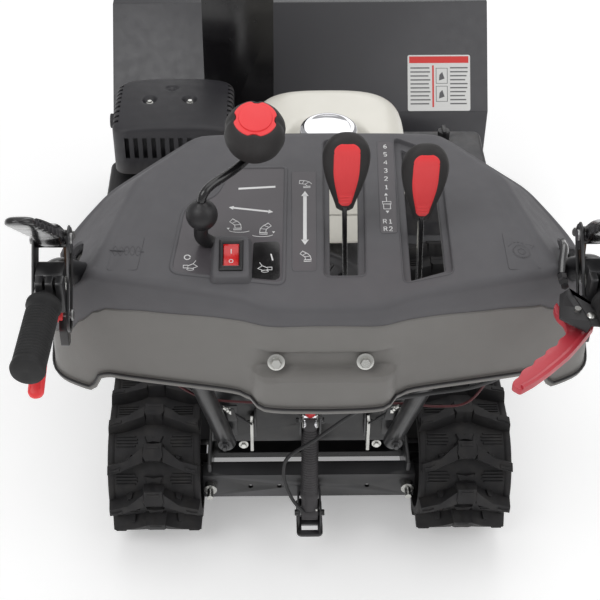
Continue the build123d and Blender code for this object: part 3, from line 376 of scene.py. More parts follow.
def looking(origin, normal, up=(0, 0, 1)):
    """A matrix whose z axis is the normal, for prisms."""
    z = Vector(normal).normalized()
    x = Vector(up).cross(z)
    if x.length < 1e-4:
        x = Vector((1, 0, 0))
    x.normalize()
    y = z.cross(x)
    return Matrix.Translation(origin) @ Matrix((x, y, z)).transposed().to_4x4()


def bolt(name, origin, normal, body, size=6, head=5.5, flange=True, mat="zinc", stud=0):
    """Hexagon flange bolt: washer face, chamfered head and, if asked, a threaded stud end."""
    bm = bmesh.new()
    turned(bm, [(size * 1.6, 0), (size * 1.6, 1.2), (size * 1.2, 2.0)] if flange else [(size * 1.2, 0),
                                                                                       (size * 1.2, 1)],
           origin, normal, 28)
    place = looking(origin + Vector(normal).normalized() * (1.2 / 1000), normal)
    outline = hexagon(size * 1.05)
    rings = []
    for scale, h in ((1, 0), (1, head * 0.8), (0.86, head)):
        rings.append([place @ Vector((x * scale / 1000, y * scale / 1000, h / 1000)) for x, y in outline])
    ring_strip(bm, rings)
    if stud:
        profile = []
        for k in range(int(stud / 1.5) + 1):
            h = head + k * 1.5
            profile += [(size * 0.55, h), (size * 0.48, h + 0.75)]
        turned(bm, profile, origin, normal, 20)
    return make(name, bm, mat, body, 30)


def polish(node, mat, width=0.8, segments=2, angle=32, weld=2e-5):
    """The CAD node's own shape with its edges broken, in place of the node."""
    source = frame["nodes"][node]
    bm = bmesh.new()
    bm.from_mesh(source.data)
    bm.transform(source.matrix_world)
    bmesh.ops.remove_doubles(bm, verts=bm.verts, dist=weld)
    bmesh.ops.dissolve_limit(bm, angle_limit=math.radians(1), verts=bm.verts, edges=bm.edges)
    mods = [bevel(width, segments, angle)] if width else []
    obj = make(node + "_finish", bm, mat, NODE_BODY[node], 35, modifiers=mods)
    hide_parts(node)
    return obj


# ---------------------------------------------------------------- console geometry
DECK_REAR, DECK_FRONT = Vector((-760, 780)), Vector((-500, 823))
DECK_SLOPE = (DECK_FRONT.y - DECK_REAR.y) / (DECK_FRONT.x - DECK_REAR.x)


def deck_z(y):
    return DECK_REAR.y + DECK_SLOPE * (y - DECK_REAR.x)


def on_deck(points, lift=0):
    """Deck points (x, y) as places in the frame."""
    normal = Vector((0, -DECK_SLOPE, 1)).normalized() * (lift / 1000)
    return [at(x, y, deck_z(y)) + normal for x, y in points]


def plane_through(a, b, c):
    """Height of the plane through three points, as a function of x and y."""
    a, b, c = Vector(a), Vector(b), Vector(c)
    n = (b - a).cross(c - a)
    return lambda x, y: a.z - (n.x * (x - a.x) + n.y * (y - a.y)) / n.z


# the planes that slope away beside the deck and across its front corners
SHOULDER = plane_through((196, -520, deck_z(-520)), (262, -735, deck_z(-735)), (322, -600, 704))
CORNER = plane_through((137, -507, 821), (205, -568, 806), (232, -530, 766))


def soft_min(a, b, blend):
    h = max(0, min(1, 0.5 + 0.5 * (b - a) / blend))
    return b * (1 - h) + a * h - blend * h * (1 - h)


def crease(x, y):
    """Share 0 to 1 across the soft trough beside each shoulder ridge."""
    ridge = 196 + (262 - 196) * (-520 - y) / 215
    return math.exp(-((abs(x) - ridge + 17) / 9) ** 2)


def console_height(x, y):
    deck = deck_z(y) - 2.6 * crease(x, y)
    return soft_min(soft_min(deck, SHOULDER(abs(x), y) + 2, 6), CORNER(abs(x), y) + 2, 6)


# half of the console's outline from above, front to rear
CONSOLE_EDGE = [(0, -503), (100, -504), (158, -509), (205, -523), (252, -543), (290, -564), (312, -588),
                (321, -620), (323, -660), (322, -694), (312, -716), (286, -732), (245, -744), (180, -758),
                (100, -775), (60, -790), (0, -793)]


def smooth_outline(points, step=6.0):
    """A closed, left and right symmetrical outline through the points, evenly stepped."""
    half = curve_points([(x, y, 0) for x, y in points], 12)
    out = [half[0]]
    for p in half[1:]:
        if (p - out[-1]).length >= step:
            out.append(p)
    out[-1] = half[-1]
    return [(p.x, p.y) for p in out] + [(-p.x, p.y) for p in reversed(out[1:-1])]


# heights of the line between the shells and of the skirt's bottom, by distance from the middle
PARTING = [(0, 749), (118, 743), (200, 739), (248, 735), (263, 727), (278, 712), (298, 686), (322, 672),
           (400, 660)]
SKIRT_LOW = [(0, 633), (88, 633), (98, 636), (252, 634), (262, 630), (276, 606), (400, 604)]
BULGE = (64, 84)            # where the middle of the skirt starts and ends stepping out
SHELF_Z = 681               # top of the bulge
BULGE_OUT = 13
SHELL_WALL = 3
EDGE_ROLL = 11


def table_value(table, x):
    """Smoothed look-up between the points of a table."""
    for (x0, v0), (x1, v1) in zip(table, table[1:]):
        if x <= x1:
            t = max(0, (x - x0) / (x1 - x0))
            return v0 + (v1 - v0) * t * t * (3 - 2 * t)
    return table[-1][1]


def step(x, low, high):
    t = max(0, min(1, (x - low) / (high - low)))
    return t * t * (3 - 2 * t)


def outline_normals(outline):
    normals = []
    for i in range(len(outline)):
        a, b = Vector(outline[i - 1]), Vector(outline[(i + 1) % len(outline)])
        d = (b - a).normalized()
        normals.append(Vector((d.y, -d.x)))
    if sum(Vector(p).dot(n) for p, n in zip([(x, y + 650) for x, y in outline], normals)) < 0:
        normals = [-n for n in normals]
    return normals


def console_deck_piece():
    """Upper shell: wall, rolled edge and the sculpted deck, with its openings cut through."""
    outline = smooth_outline(CONSOLE_EDGE)
    normals = outline_normals(outline)
    bm = bmesh.new()
    rings = []
    for share in (0, 0.12, 0.4, 0.7):
        ring = []
        for (x, y), n in zip(outline, normals):
            top = console_height(x - n.x * EDGE_ROLL, y - n.y * EDGE_ROLL) - EDGE_ROLL
            low = min(table_value(PARTING, abs(x)), top - 2)
            swell = 1.5 * math.sin(math.pi * min(1, share * 1.2))
            ring.append(at(x + n.x * swell, y + n.y * swell, low + (top - low) * share))
        rings.append(ring)
    for k in range(7):
        a = math.pi / 2 * k / 6
        ring = []
        for (x, y), n in zip(outline, normals):
            inward = EDGE_ROLL * (1 - math.cos(a))
            px, py = x - n.x * inward, y - n.y * inward
            base = console_height(x - n.x * EDGE_ROLL, y - n.y * EDGE_ROLL)
            ring.append(at(px, py, base - EDGE_ROLL * (1 - math.sin(a))))
        rings.append(ring)
    steps = 30
    for k in range(1, steps):
        t = k / steps * 0.97
        ring = []
        for (x, y), n in zip(outline, normals):
            sx, sy = x - n.x * EDGE_ROLL, y - n.y * EDGE_ROLL
            cx, cy = sx * 0.62, -650
            px, py = sx + (cx - sx) * t, sy + (cy - sy) * t
            ring.append(at(px, py, console_height(px, py)))
        rings.append(ring)
    made = ring_strip(bm, rings, cap=False)
    bm.faces.new(made[-1])
    cutters = [slot_cutter(slot["outer"]) for slot in SLOTS]
    cutters.append(slot_cutter(rounded(SWITCH_HOLE, 2)))
    for side in (-1, 1):
        cutters.append(slot_cutter(rounded([(side * x, y) for x, y in WING_NOTCH], [1, 9, 9, 9, 6, 1]), 120))
    shell = make("console_deck", bm, "shell", "chassis", 32, modifiers=(solidify(SHELL_WALL), cut(cutters)))
    remove(cutters)
    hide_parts("console_upper")
    return shell


SLOTS = [
    {"outer": rounded([(5, -522), (56, -522), (47, -746), (-1, -746)], 9),
     "inner": rounded([(12, -534), (48, -534), (39, -738), (6, -738)], 3)},
    {"outer": rounded([(92, -518), (148, -548), (146, -742), (88, -757)], 9),
     "inner": rounded([(101, -534), (140, -562), (138, -733), (97, -747)], 3)},
]
SWITCH_MID = (-105, -720)
SWITCH_HOLE = [(SWITCH_MID[0] - 13, SWITCH_MID[1] - 23), (SWITCH_MID[0] + 13, SWITCH_MID[1] - 23),
               (SWITCH_MID[0] + 13, SWITCH_MID[1] + 23), (SWITCH_MID[0] - 13, SWITCH_MID[1] + 23)]
# opening in each side of the console for the handle tube
WING_NOTCH = [(345, -622), (287, -634), (283, -652), (282, -680), (296, -704), (345, -722)]


def slot_cutter(outline, reach=25):
    """Cutter through the deck, reaching this far below it."""
    return cutter([on_deck(outline, lift) for lift in (-reach, 25)])


def slot_tray(name, slot):
    """Sunken surround of a lever slot: rolled lip, wall, floor and a folded inner edge."""
    profile = [(-0.10, -1.5), (-0.10, 0.2), (-0.06, 0.6), (0.0, 0.7), (0.06, 0.3), (0.10, -0.8), (0.14, -5.4),
               (0.2, -6.4), (0.30, -6.8), (0.92, -6.8), (0.98, -7.2), (1.0, -8.0), (1.0, -15), (1.08, -15),
               (1.08, -8.6), (0.3, -8.6), (0.0, -6)]
    rings = []
    for t, lift in profile:
        outline = [tuple(Vector(a).lerp(Vector(b), t)) for a, b in zip(slot["outer"], slot["inner"])]
        rings.append(on_deck(outline, lift))
    bm = bmesh.new()
    made = ring_strip(bm, rings, cap=False)
    count = len(made[0])
    for i in range(count):
        j = (i + 1) % count
        bm.faces.new((made[-1][i], made[-1][j], made[0][j], made[0][i]))
    return make(name, bm, "shell", "chassis", 50)


def skirt_piece():
    """Lower shell: a leaning wall with a stepped-out middle and a rolled rim along its bottom."""
    outline = smooth_outline(CONSOLE_EDGE)
    normals = outline_normals(outline)
    keep = [i for i, (x, y) in enumerate(outline) if y < -560]
    bm = bmesh.new()
    rings = []
    shares = [0, 0.015, 0.03] + [0.06 + 0.9 * k / 30 for k in range(31)]
    rim = [(11, 0), (8.2, 0), (7.4, -1.3), (5.6, -1.3), (4.8, 0.8), (3, 1.7), (1, 1.5), (0, 0.6)]
    for share in shares:
        ring = []
        for i in keep:
            x, y = outline[i]
            high, low = table_value(PARTING, abs(x)) + 1, skirt_low(x, y) + 12
            z = high + (low - high) * share
            ring.append(skirt_point(x, y, normals[i], z, high, 0 if share > 0.02 else -1.5))
        rings.append(ring)
    for above, out in rim:
        ring = []
        for i in keep:
            x, y = outline[i]
            high, z = table_value(PARTING, abs(x)) + 1, skirt_low(x, y) + above
            ring.append(skirt_point(x, y, normals[i], z, high, out))
        rings.append(ring)
    ring_strip(bm, rings, closed=False, cap=False)
    shell = make("console_skirt", bm, "skirt", "chassis", 35, modifiers=(solidify(SHELL_WALL, 1),))
    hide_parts("console_lower")
    return shell


def skirt_seal():
    """Dark seal in the groove over the skirt's rolled rim."""
    outline = smooth_outline(CONSOLE_EDGE)
    normals = outline_normals(outline)
    line = []
    for (x, y), normal in zip(outline, normals):
        if y < -565:
            line.append(skirt_point(x, y, normal, skirt_low(x, y) + 6.6, table_value(PARTING, abs(x)) + 1,
                                    5.4))
    middle = max(range(1, len(line)), key=lambda i: (line[i] - line[i - 1]).length)
    line = line[middle:] + line[:middle] if (line[middle] - line[middle - 1]).length > 0.1 else line
    bm = bmesh.new()
    tube_mesh(bm, line, 1.5, 8)
    make("skirt_seal", bm, "black", "chassis", 40)


def skirt_low(x, y):
    """Height of the skirt's bottom, which climbs towards the front of its sides."""
    return table_value(SKIRT_LOW, abs(x)) + max(0, (y + 690)) * 0.6


def skirt_point(x, y, normal, z, high, out):
    """A place on the skirt's wall: leaning, stepped out at the bulge and let in at the bolts' pocket."""
    lean = 3.5 * (high - z) / 100
    middle = 1 - step(abs(x), *BULGE)
    rear = 1 if y < -700 else 0
    bulge = BULGE_OUT * middle * rear * (1 - step(z, SHELF_Z - 2.5, SHELF_Z + 2.5))
    pocket = -6.0 * middle * rear * step(z, SHELF_Z, SHELF_Z + 4) * (1 - step(z, 709, 714))
    shift = lean + bulge + pocket + out - 1.0
    return at(x + normal.x * shift, y + normal.y * shift, z)


# ---------------------------------------------------------------- deck patches and printing
def ring_patch(bm, outline, height, base=-1.0, rings=5, edge=0.4):
    """A thin plate that follows the console's top: side wall, broken edge, then rings to its middle."""
    cx = sum(p[0] for p in outline) / len(outline)
    cy = sum(p[1] for p in outline) / len(outline)
    layers = [[at(x, y, console_height(x, y) + base) for x, y in outline],
              [at(x, y, console_height(x, y) + height - edge) for x, y in outline]]
    span = max(Vector((x - cx, y - cy)).length for x, y in outline)
    for share in [1 - edge / span] + [1 - k / rings for k in range(1, rings)] + [0.02]:
        layer = []
        for x, y in outline:
            px, py = cx + (x - cx) * share, cy + (y - cy) * share
            layer.append(at(px, py, console_height(px, py) + height))
        layers.append(layer)
    ring_strip(bm, layers)


def patch(name, outline, height, mat):
    bm = bmesh.new()
    ring_patch(bm, outline, height)
    return make(name, bm, mat, "chassis", 40)


def bead(bm, outline, width, height, closed=True):
    """A rounded ridge that follows an outline on the console's top."""
    count = len(outline)
    normals = []
    for i in range(count):
        before = outline[i - 1] if closed or i > 0 else outline[i]
        after = outline[(i + 1) % count] if closed or i < count - 1 else outline[i]
        d = (Vector(after) - Vector(before)).normalized()
        normals.append(Vector((d.y, -d.x)))
    rings = []
    for k in range(9):
        a = math.pi * k / 8
        out, up = -math.cos(a) * width / 2, math.sin(a) * height
        rings.append([at(x + n.x * out, y + n.y * out, console_height(x, y) + up - 0.3)
                      for (x, y), n in zip(outline, normals)])
    ring_strip(bm, rings, closed=closed, cap=False)


def stroke(bm, points, width, lift, closed=False, up=0.15):
    """A printed line: a thin raised ribbon through the points."""
    pts = [Vector(p) for p in points]
    count = len(pts)
    left, right = [], []
    for i, p in enumerate(pts):
        a = pts[i - 1] if closed or i > 0 else p
        b = pts[(i + 1) % count] if closed or i < count - 1 else p
        d = (b - a).normalized()
        n = Vector((d.y, -d.x))
        one = (p - a).normalized() if (p - a).length > 1e-6 else d
        miter = 1 / max(0.6, abs(one.dot(d)))
        left.append(p + n * (width / 2 * miter))
        right.append(p - n * (width / 2 * miter))
    for (a, b) in [(i, (i + 1) % count) for i in range(count if closed else count - 1)]:
        slab(bm, [left[a], left[b], right[b], right[a]], lift, up)


def slab(bm, corners, lift, up=0.15):
    """A flat printed area on the console's top."""
    rings = [[at(p[0], p[1], console_height(p[0], p[1]) + lift + h) for p in corners] for h in (0, up)]
    ring_strip(bm, rings)


def arc(cx, cy, rx, ry, start, end, steps=14):
    return [(cx + rx * math.cos(math.radians(start + (end - start) * k / steps)),
             cy + ry * math.sin(math.radians(start + (end - start) * k / steps))) for k in range(steps + 1)]


def arrow_head(bm, tip, direction, size, lift):
    d = Vector(direction).normalized()
    n = Vector((d.y, -d.x))
    tip = Vector(tip)
    slab(bm, [tip, tip - d * size + n * size * 0.55, tip - d * size - n * size * 0.55], lift)


def double_arrow(bm, a, b, width, head, lift):
    a, b = Vector(a), Vector(b)
    d = (b - a).normalized()
    stroke(bm, [a + d * head * 0.8, b - d * head * 0.8], width, lift)
    arrow_head(bm, a, -d, head, lift)
    arrow_head(bm, b, d, head, lift)


def chute_icon(bm, x, y, lift, flip=1, lean=0, size=1.0):
    """Line drawing of a bent chute on its ring."""
    def put(points):
        out = []
        for px, py in points:
            turn = math.radians(lean)
            qx, qy = px * math.cos(turn) - py * math.sin(turn), px * math.sin(turn) + py * math.cos(turn)
            out.append((x + flip * qx * size, y + qy * size))
        return out
    base = [(-4, -9), (5, -9), (5, -6.5), (-4, -6.5)]
    stroke(bm, [(x + flip * px * size, y + py * size) for px, py in base], 0.7, lift, closed=True)
    stroke(bm, put([(-3, -6.5), (-3, -1), (-8, 5), (-4, 9), (2, 3), (4, -1), (4, -6.5)]), 0.7, lift)
    stroke(bm, put([(-3, -1), (4, -1)]), 0.6, lift)
    stroke(bm, put([(-5, 2.5), (1, 5)]), 0.6, lift)


def machine_icon(bm, x, y, lift, flip=1):
    """Line drawing of a small walk-behind machine."""
    def put(points):
        return [(x + flip * px, y + py) for px, py in points]
    stroke(bm, put([(-8, -3), (-8, 1), (-3, 1), (-3, -3)]), 0.7, lift, closed=True)
    stroke(bm, put([(-3, 0), (3, 3), (8, -1), (2, -4), (-3, -3)]), 0.7, lift, closed=True)
    stroke(bm, put([(3, 3), (6, 8)]), 0.7, lift)
    stroke(bm, put(arc(0, -5, 4, 1.6, 0, 360, 12)), 0.6, lift)


DIGITS = {
    "1": [[(-1, 2), (0.4, 3.2), (0.4, -3.2)], [(-1.2, -3.2), (2, -3.2)]],
    "2": [[(-1.8, 2), (-0.8, 3.2), (1, 3.2), (1.8, 2), (1.6, 0.8), (-1.8, -3.2), (2, -3.2)]],
    "3": [[(-1.8, 2.6), (-0.6, 3.2), (1, 3.2), (1.7, 2), (0.8, 0.4), (-0.4, 0.3)],
          [(0.8, 0.3), (1.8, -1.4), (1, -3.2), (-0.8, -3.2), (-1.8, -2.4)]],
    "4": [[(1, -3.2), (1, 3.2), (-2, -1.2), (2.2, -1.2)]],
    "5": [[(1.8, 3.2), (-1.4, 3.2), (-1.6, 0.4), (0.8, 0.6), (1.8, -1.2), (0.8, -3.2), (-1.8, -2.8)]],
    "6": [[(1.4, 3.2), (-1, 2), (-1.8, -0.6), (-1.2, -2.8), (0.4, -3.3), (1.7, -2.2), (1.5, -0.4), (0.2, 0.4),
           (-1.6, -0.6)]],
    "R": [[(-1.8, -3.2), (-1.8, 3.2), (1, 3.2), (1.7, 1.8), (1, 0.2), (-1.8, 0.2)], [(0, 0.2), (1.9, -3.2)]],
}


def digit(bm, mark, x, y, lift, size=1.0):
    for line in DIGITS[mark]:
        stroke(bm, [(x + px * size, y + py * size) for px, py in line], 0.9 * size, lift)


PLATE = rounded([(-108, -572), (-41, -571), (-46, -757), (-174, -738), (-162, -637), (-124, -618)],
                [10, 6, 10, 12, 14, 12])
STRIPS = [rounded([(-34, -578), (-5, -578), (-9, -737), (-36, -737)], 4),
          rounded([(72, -526), (92, -527), (86, -680), (67, -680)], 4)]


def deck_printing():
    bead_mesh = bmesh.new()
    bead(bead_mesh, PLATE, 5.0, 1.9)
    for strip in STRIPS:
        bead(bead_mesh, strip, 1.6, 0.8)
    make("console_label_rims", bead_mesh, "shell", "chassis", 50)
    patch("label_plate_main", PLATE, 0.5, "plate")
    for index, strip in enumerate(STRIPS):
        patch("label_strip_%d" % (index + 1), strip, 0.35, "plate")
    black = bmesh.new()
    corner = rounded([(-80, -694), (-50, -692), (-50, -752), (-82, -748)], [3, 6, 9, 3])
    ring_patch(black, corner, 0.75, base=-0.5, rings=3)
    make("label_black_area", black, "plate_black", "chassis", 40)
    ink = bmesh.new()
    low, high = 0.5, 0.75
    double_arrow(ink, (-109, -638), (-57, -646), 2.6, 5.5, low)
    chute_icon(ink, -99, -665, low, 1, 8)
    chute_icon(ink, -68, -672, low, -1, 8)
    stroke(ink, arc(-96, -674, 13, 4, 200, 330), 0.7, low)
    stroke(ink, arc(-70, -681, 13, 4, 210, 340), 0.7, low)
    arrow_head(ink, (-111, -671), (-1, 0.5), 3, low)
    arrow_head(ink, (-55, -677), (1, 0.5), 3, low)
    stroke(ink, arc(-155, -716, 3.4, 3.4, 0, 345, 16), 1.1, low)
    machine_icon(ink, -151, -729, low)
    stroke(ink, [(-58, -722), (-60, -712)], 1.6, high)
    machine_icon(ink, -67, -733, high, -1)
    slab(ink, [(-98, -606), (-54, -603), (-54, -606), (-98, -609)], low)
    double_arrow(ink, (-19, -612), (-21, -698), 4.2, 8, 0.35)
    chute_icon(ink, -17, -598, 0.35, 1, 40, 0.9)
    chute_icon(ink, -19, -715, 0.35, 1, 10, 0.9)
    for index, mark in enumerate("654321"):
        digit(ink, mark, 81 - index * 0.6, -536 - index * 14, 0.35)
    stroke(ink, [(77, -622), (77, -630), (82, -630), (82, -634), (72, -634), (72, -630), (77, -630)], 0.8,
           0.35)
    stroke(ink, [(73, -634), (73, -642), (81, -642), (81, -634)], 0.8, 0.35)
    arrow_head(ink, (77, -616), (0, 1), 4, 0.35)
    arrow_head(ink, (77, -649), (0, -1), 4, 0.35)
    for index in (1, 2):
        digit(ink, "R", 73, -650 - index * 12, 0.35)
        digit(ink, str(index), 79, -650 - index * 12, 0.35)
    make("label_ink_white", ink, "ink", "chassis", 40)


def icon_pads():
    """Embossed pads on the ridges: a double wave on the left, a dial on the right."""
    left = rounded([(-236, -676), (-205, -684), (-211, -735), (-246, -732)], 4)
    right = rounded([(207, -680), (237, -674), (246, -735), (208, -738)], 4)
    for name, outline in (("left", left), ("right", right)):
        patch("icon_pad_" + name, outline, 0.7, "shell")
    lines = bmesh.new()
    for phase in (0, math.pi):
        wave = [(-241 + 33 * k / 36,
                 -703 - 3.6 * k / 36 + 7 * math.sin(phase + 5 * math.pi * k / 36)) for k in range(37)]
        bead(lines, wave, 1.1, 1.5, closed=False)
    bead(lines, [(-244, -703), (-224, -705), (-205, -707)], 1.1, 1.5, closed=False)
    cx, cy = 226, -710
    for k in range(28):
        a = 2 * math.pi * k / 28
        spoke = [(cx + r * math.cos(a), cy + r * math.sin(a)) for r in (8.6, 10.6)]
        bead(lines, spoke, 0.9, 1.5, closed=False)
    bead(lines, arc(cx, cy, 4.2, 4.2, 0, 345, 20)[:-1], 1.1, 1.5)
    for k in range(7):
        bead(lines, arc(cx - 1, cy - 1, 15.5, 15.5, 150 - 17 * k, 141 - 17 * k, 3), 1.1, 1.5, closed=False)
    bead(lines, [(cx + 8, cy + 13), (cx + 15, cy + 9), (cx + 11, cy + 4)], 1.2, 1.5, closed=False)
    make("icon_embossing", lines, "shell", "chassis", 50)


# ---------------------------------------------------------------- switch, crank and levers
def switch_cup():
    """Raised moulded cup with the switch bezel let into its top."""
    mx, my = SWITCH_MID
    outer = rounded([(mx - 24, my - 36), (mx + 24, my - 36), (mx + 23, my + 33), (mx - 23, my + 33)], 7)
    top = rounded([(mx - 20, my - 32), (mx + 20, my - 32), (mx + 19, my + 29), (mx - 19, my + 29)], 6)
    hole = rounded([(mx - 13.5, my - 23.5), (mx + 13.5, my - 23.5), (mx + 13.5, my + 23.5),
                    (mx - 13.5, my + 23.5)], 1.5)

    def mixed(a, b, t, lift):
        return on_deck([tuple(Vector(p).lerp(Vector(q), t)) for p, q in zip(a, b)], lift)
    rings = [mixed(outer, top, 0, -0.5), mixed(outer, top, 0.1, 1), mixed(outer, top, 0.75, 6.4),
             mixed(outer, top, 0.9, 7.6), mixed(outer, top, 1.1, 8.1), mixed(top, hole, 0.25, 8.2),
             mixed(top, hole, 0.92, 8.2), mixed(top, hole, 1, 7.8), mixed(top, hole, 1, -4)]
    bm = bmesh.new()
    ring_strip(bm, rings, cap=False)
    make("switch_cup", bm, "shell", "chassis", 50)
    bm = bmesh.new()
    inner = rounded([(mx - 9.4, my - 16.5), (mx + 9.4, my - 16.5), (mx + 9.4, my + 16.5),
                     (mx - 9.4, my + 16.5)], 1.5)
    rings = [mixed(hole, inner, 0.04, 7.0), mixed(hole, inner, 0.04, 9.0), mixed(hole, inner, 0.15, 9.6),
             mixed(hole, inner, 0.85, 9.6), mixed(hole, inner, 1, 9.2), mixed(hole, inner, 1, -3)]
    ring_strip(bm, rings, cap=False)
    make("switch_bezel", bm, "black", "chassis", 50)


def rocker_lift(y):
    """Height of the rocker's face over the deck: hollow, with its lower end pressed in."""
    u = (y - SWITCH_MID[1]) / 15.8
    return 6.4 + 2.0 * u * u + 1.1 * u


def switch_rocker():
    """Rocker with a hollow face between two raised ends, and its on and off marks."""
    mx, my = SWITCH_MID
    rows = [my - 15.6 + 31.2 * k / 24 for k in range(25)]
    bm = bmesh.new()
    rings = []
    for x in (mx - 9, mx - 8.2, mx + 8.2, mx + 9):
        edge = 0.7 if abs(x - mx) > 8.5 else 0
        ring = [on_deck([(x, y)], rocker_lift(y) - edge)[0] for y in rows]
        ring += on_deck([(x, my + 13.0), (x, my - 13.0)], -1)
        rings.append(ring)
    ring_strip(bm, rings)
    rocker = make("rocker_cap", bm, "rocker_red", "rocker", 40)
    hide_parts("switch_rocker")
    ink = bmesh.new()

    def mark(points, width):
        line = [Vector(p) for p in points]
        for a, b in zip(line, line[1:]):
            d = (b - a).normalized()
            n = Vector((d.y, -d.x)) * width / 2
            layers = []
            for h in (0.02, 0.22):
                layers.append([on_deck([(p.x, p.y)], rocker_lift(p.y) + h)[0] for p in (a + n, b + n, b - n,
                                                                                        a - n)])
            ring_strip(ink, layers)
    mark([(mx, my + 3.5), (mx, my + 6.5), (mx, my + 9.5)], 1.0)
    mark(arc(mx, my - 7.5, 2.2, 2.6, 0, 360, 20), 0.8)
    make("rocker_marks", ink, "ink", "rocker", 40)


LEVER_LEAN = -6             # the blades lean this far sideways on their way up to the knobs


def lever_knob(body, node, x, top, blade):
    """Tear-drop knob: a crowned rubber body with a knurled insert, on a flat blade."""
    knob_mid_y = -680
    length = 101
    bm = bmesh.new()
    rings = []

    def half_width(s):
        if s > 0.70:
            return 26.5 * math.sqrt(max(0.0, 1 - ((s - 0.70) / 0.30) ** 2))
        return 9.5 + 17 * math.sin(math.pi / 2 * (s / 0.70)) ** 1.25

    def half_depth(s):
        if s > 0.8:
            return 11.5 * math.sqrt(max(0.0, 1 - ((s - 0.8) / 0.2) ** 2)) * 0.98
        return 7.5 + 4 * math.sin(math.pi / 2 * min(1, s / 0.8))

    steps = 44
    for k in range(steps + 1):
        s = 0.5 - 0.5 * math.cos(math.pi * k / steps)
        w, d = max(half_width(s), 0.4), max(half_depth(s), 0.3)
        if s < 0.03:
            w, d = w * (0.7 + 10 * s), d * (0.7 + 10 * s)
        ring = []
        for i in range(48):
            a = 2 * math.pi * i / 48
            ca, sa = math.cos(a), math.sin(a)
            ring.append(at(x + LEVER_LEAN + w * math.copysign(abs(ca) ** 0.75, ca),
                           knob_mid_y + d * math.copysign(abs(sa) ** 0.75, sa), top - length + length * s))
        rings.append(ring)
    ring_strip(bm, rings)
    make(node + "_knob", bm, "knob", body, 60)

    bm = bmesh.new()
    columns, rows = 44, 96
    grid = []
    for r in range(rows + 1):
        s = 0.085 + (0.925 - 0.085) * r / rows
        u = (s - 0.085) / (0.925 - 0.085)
        w = 7 + 8.2 * math.sin(math.pi / 2 * min(1, u / 0.62)) ** 1.3
        w *= math.sqrt(max(0.0, 1 - max(0, (u - 0.86) / 0.14) ** 2.2)) * 0.98 + 0.02
        w *= min(1, 0.55 + u * 9)
        row = []
        for c in range(columns + 1):
            t = -1 + 2 * c / columns
            px = w * t
            full_w, full_d = half_width(s), half_depth(s)
            depth = full_d * max(0.05, 1 - abs(px / full_w) ** 2.67) ** 0.375
            rim = min(1, (1 - abs(t)) * 5, u * 16, (1 - u) * 16)
            dish = -1.5 * (1 - abs(t) ** 2) * min(1, u * 5, (1 - u) * 5)
            knurl = 0.0
            z = length * s
            if u > 0.22 and u < 0.92 and abs(t) < 0.72:
                knurl = 0.28 * abs(math.sin(px * 1.9 + z * 1.9)) * abs(math.sin(px * 1.9 - z * 1.9))
            if u < 0.20:
                knurl = 0.5 * max(0, math.sin(z * 1.5)) if abs(t) < 0.8 else 0
            out = depth + 1.3 * math.sqrt(max(rim, 0)) + dish * 0.45 + knurl - 0.6
            row.append(at(x + LEVER_LEAN + px, knob_mid_y - out, top - length + z))
        grid.append([bm.verts.new(p) for p in row])
    for a, b in zip(grid, grid[1:]):
        for i in range(columns):
            bm.faces.new((a[i], a[i + 1], b[i + 1], b[i]))
    make(node + "_insert", bm, "red", body, 60, modifiers=(solidify(1.5, -1),))

    bm = bmesh.new()
    outline = rounded([(-11, 0), (11, 0), (9, top - length - 650 + 8), (-9, top - length - 650 + 8)], 2)
    place = looking(at(x - blade / 2, knob_mid_y, 650), (1, 0, 0), up=(0, 0, 1))
    prism(bm, [(py, pz) for py, pz in outline], blade, place)
    for v in bm.verts:
        v.co.x += LEVER_LEAN / 1000 * max(0, (v.co.z * 1000 - 690)) / (top - length - 690)
    for sign in (-1, 1):
        turned(bm, [(14, 0), (14, 6), (12, 7)], at(x, knob_mid_y, 650), (sign, 0, 0), 32)
    lever = make(node + "_blade", bm, "gloss_black", body, 35, modifiers=(bevel(0.6, 2),))
    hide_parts(node)


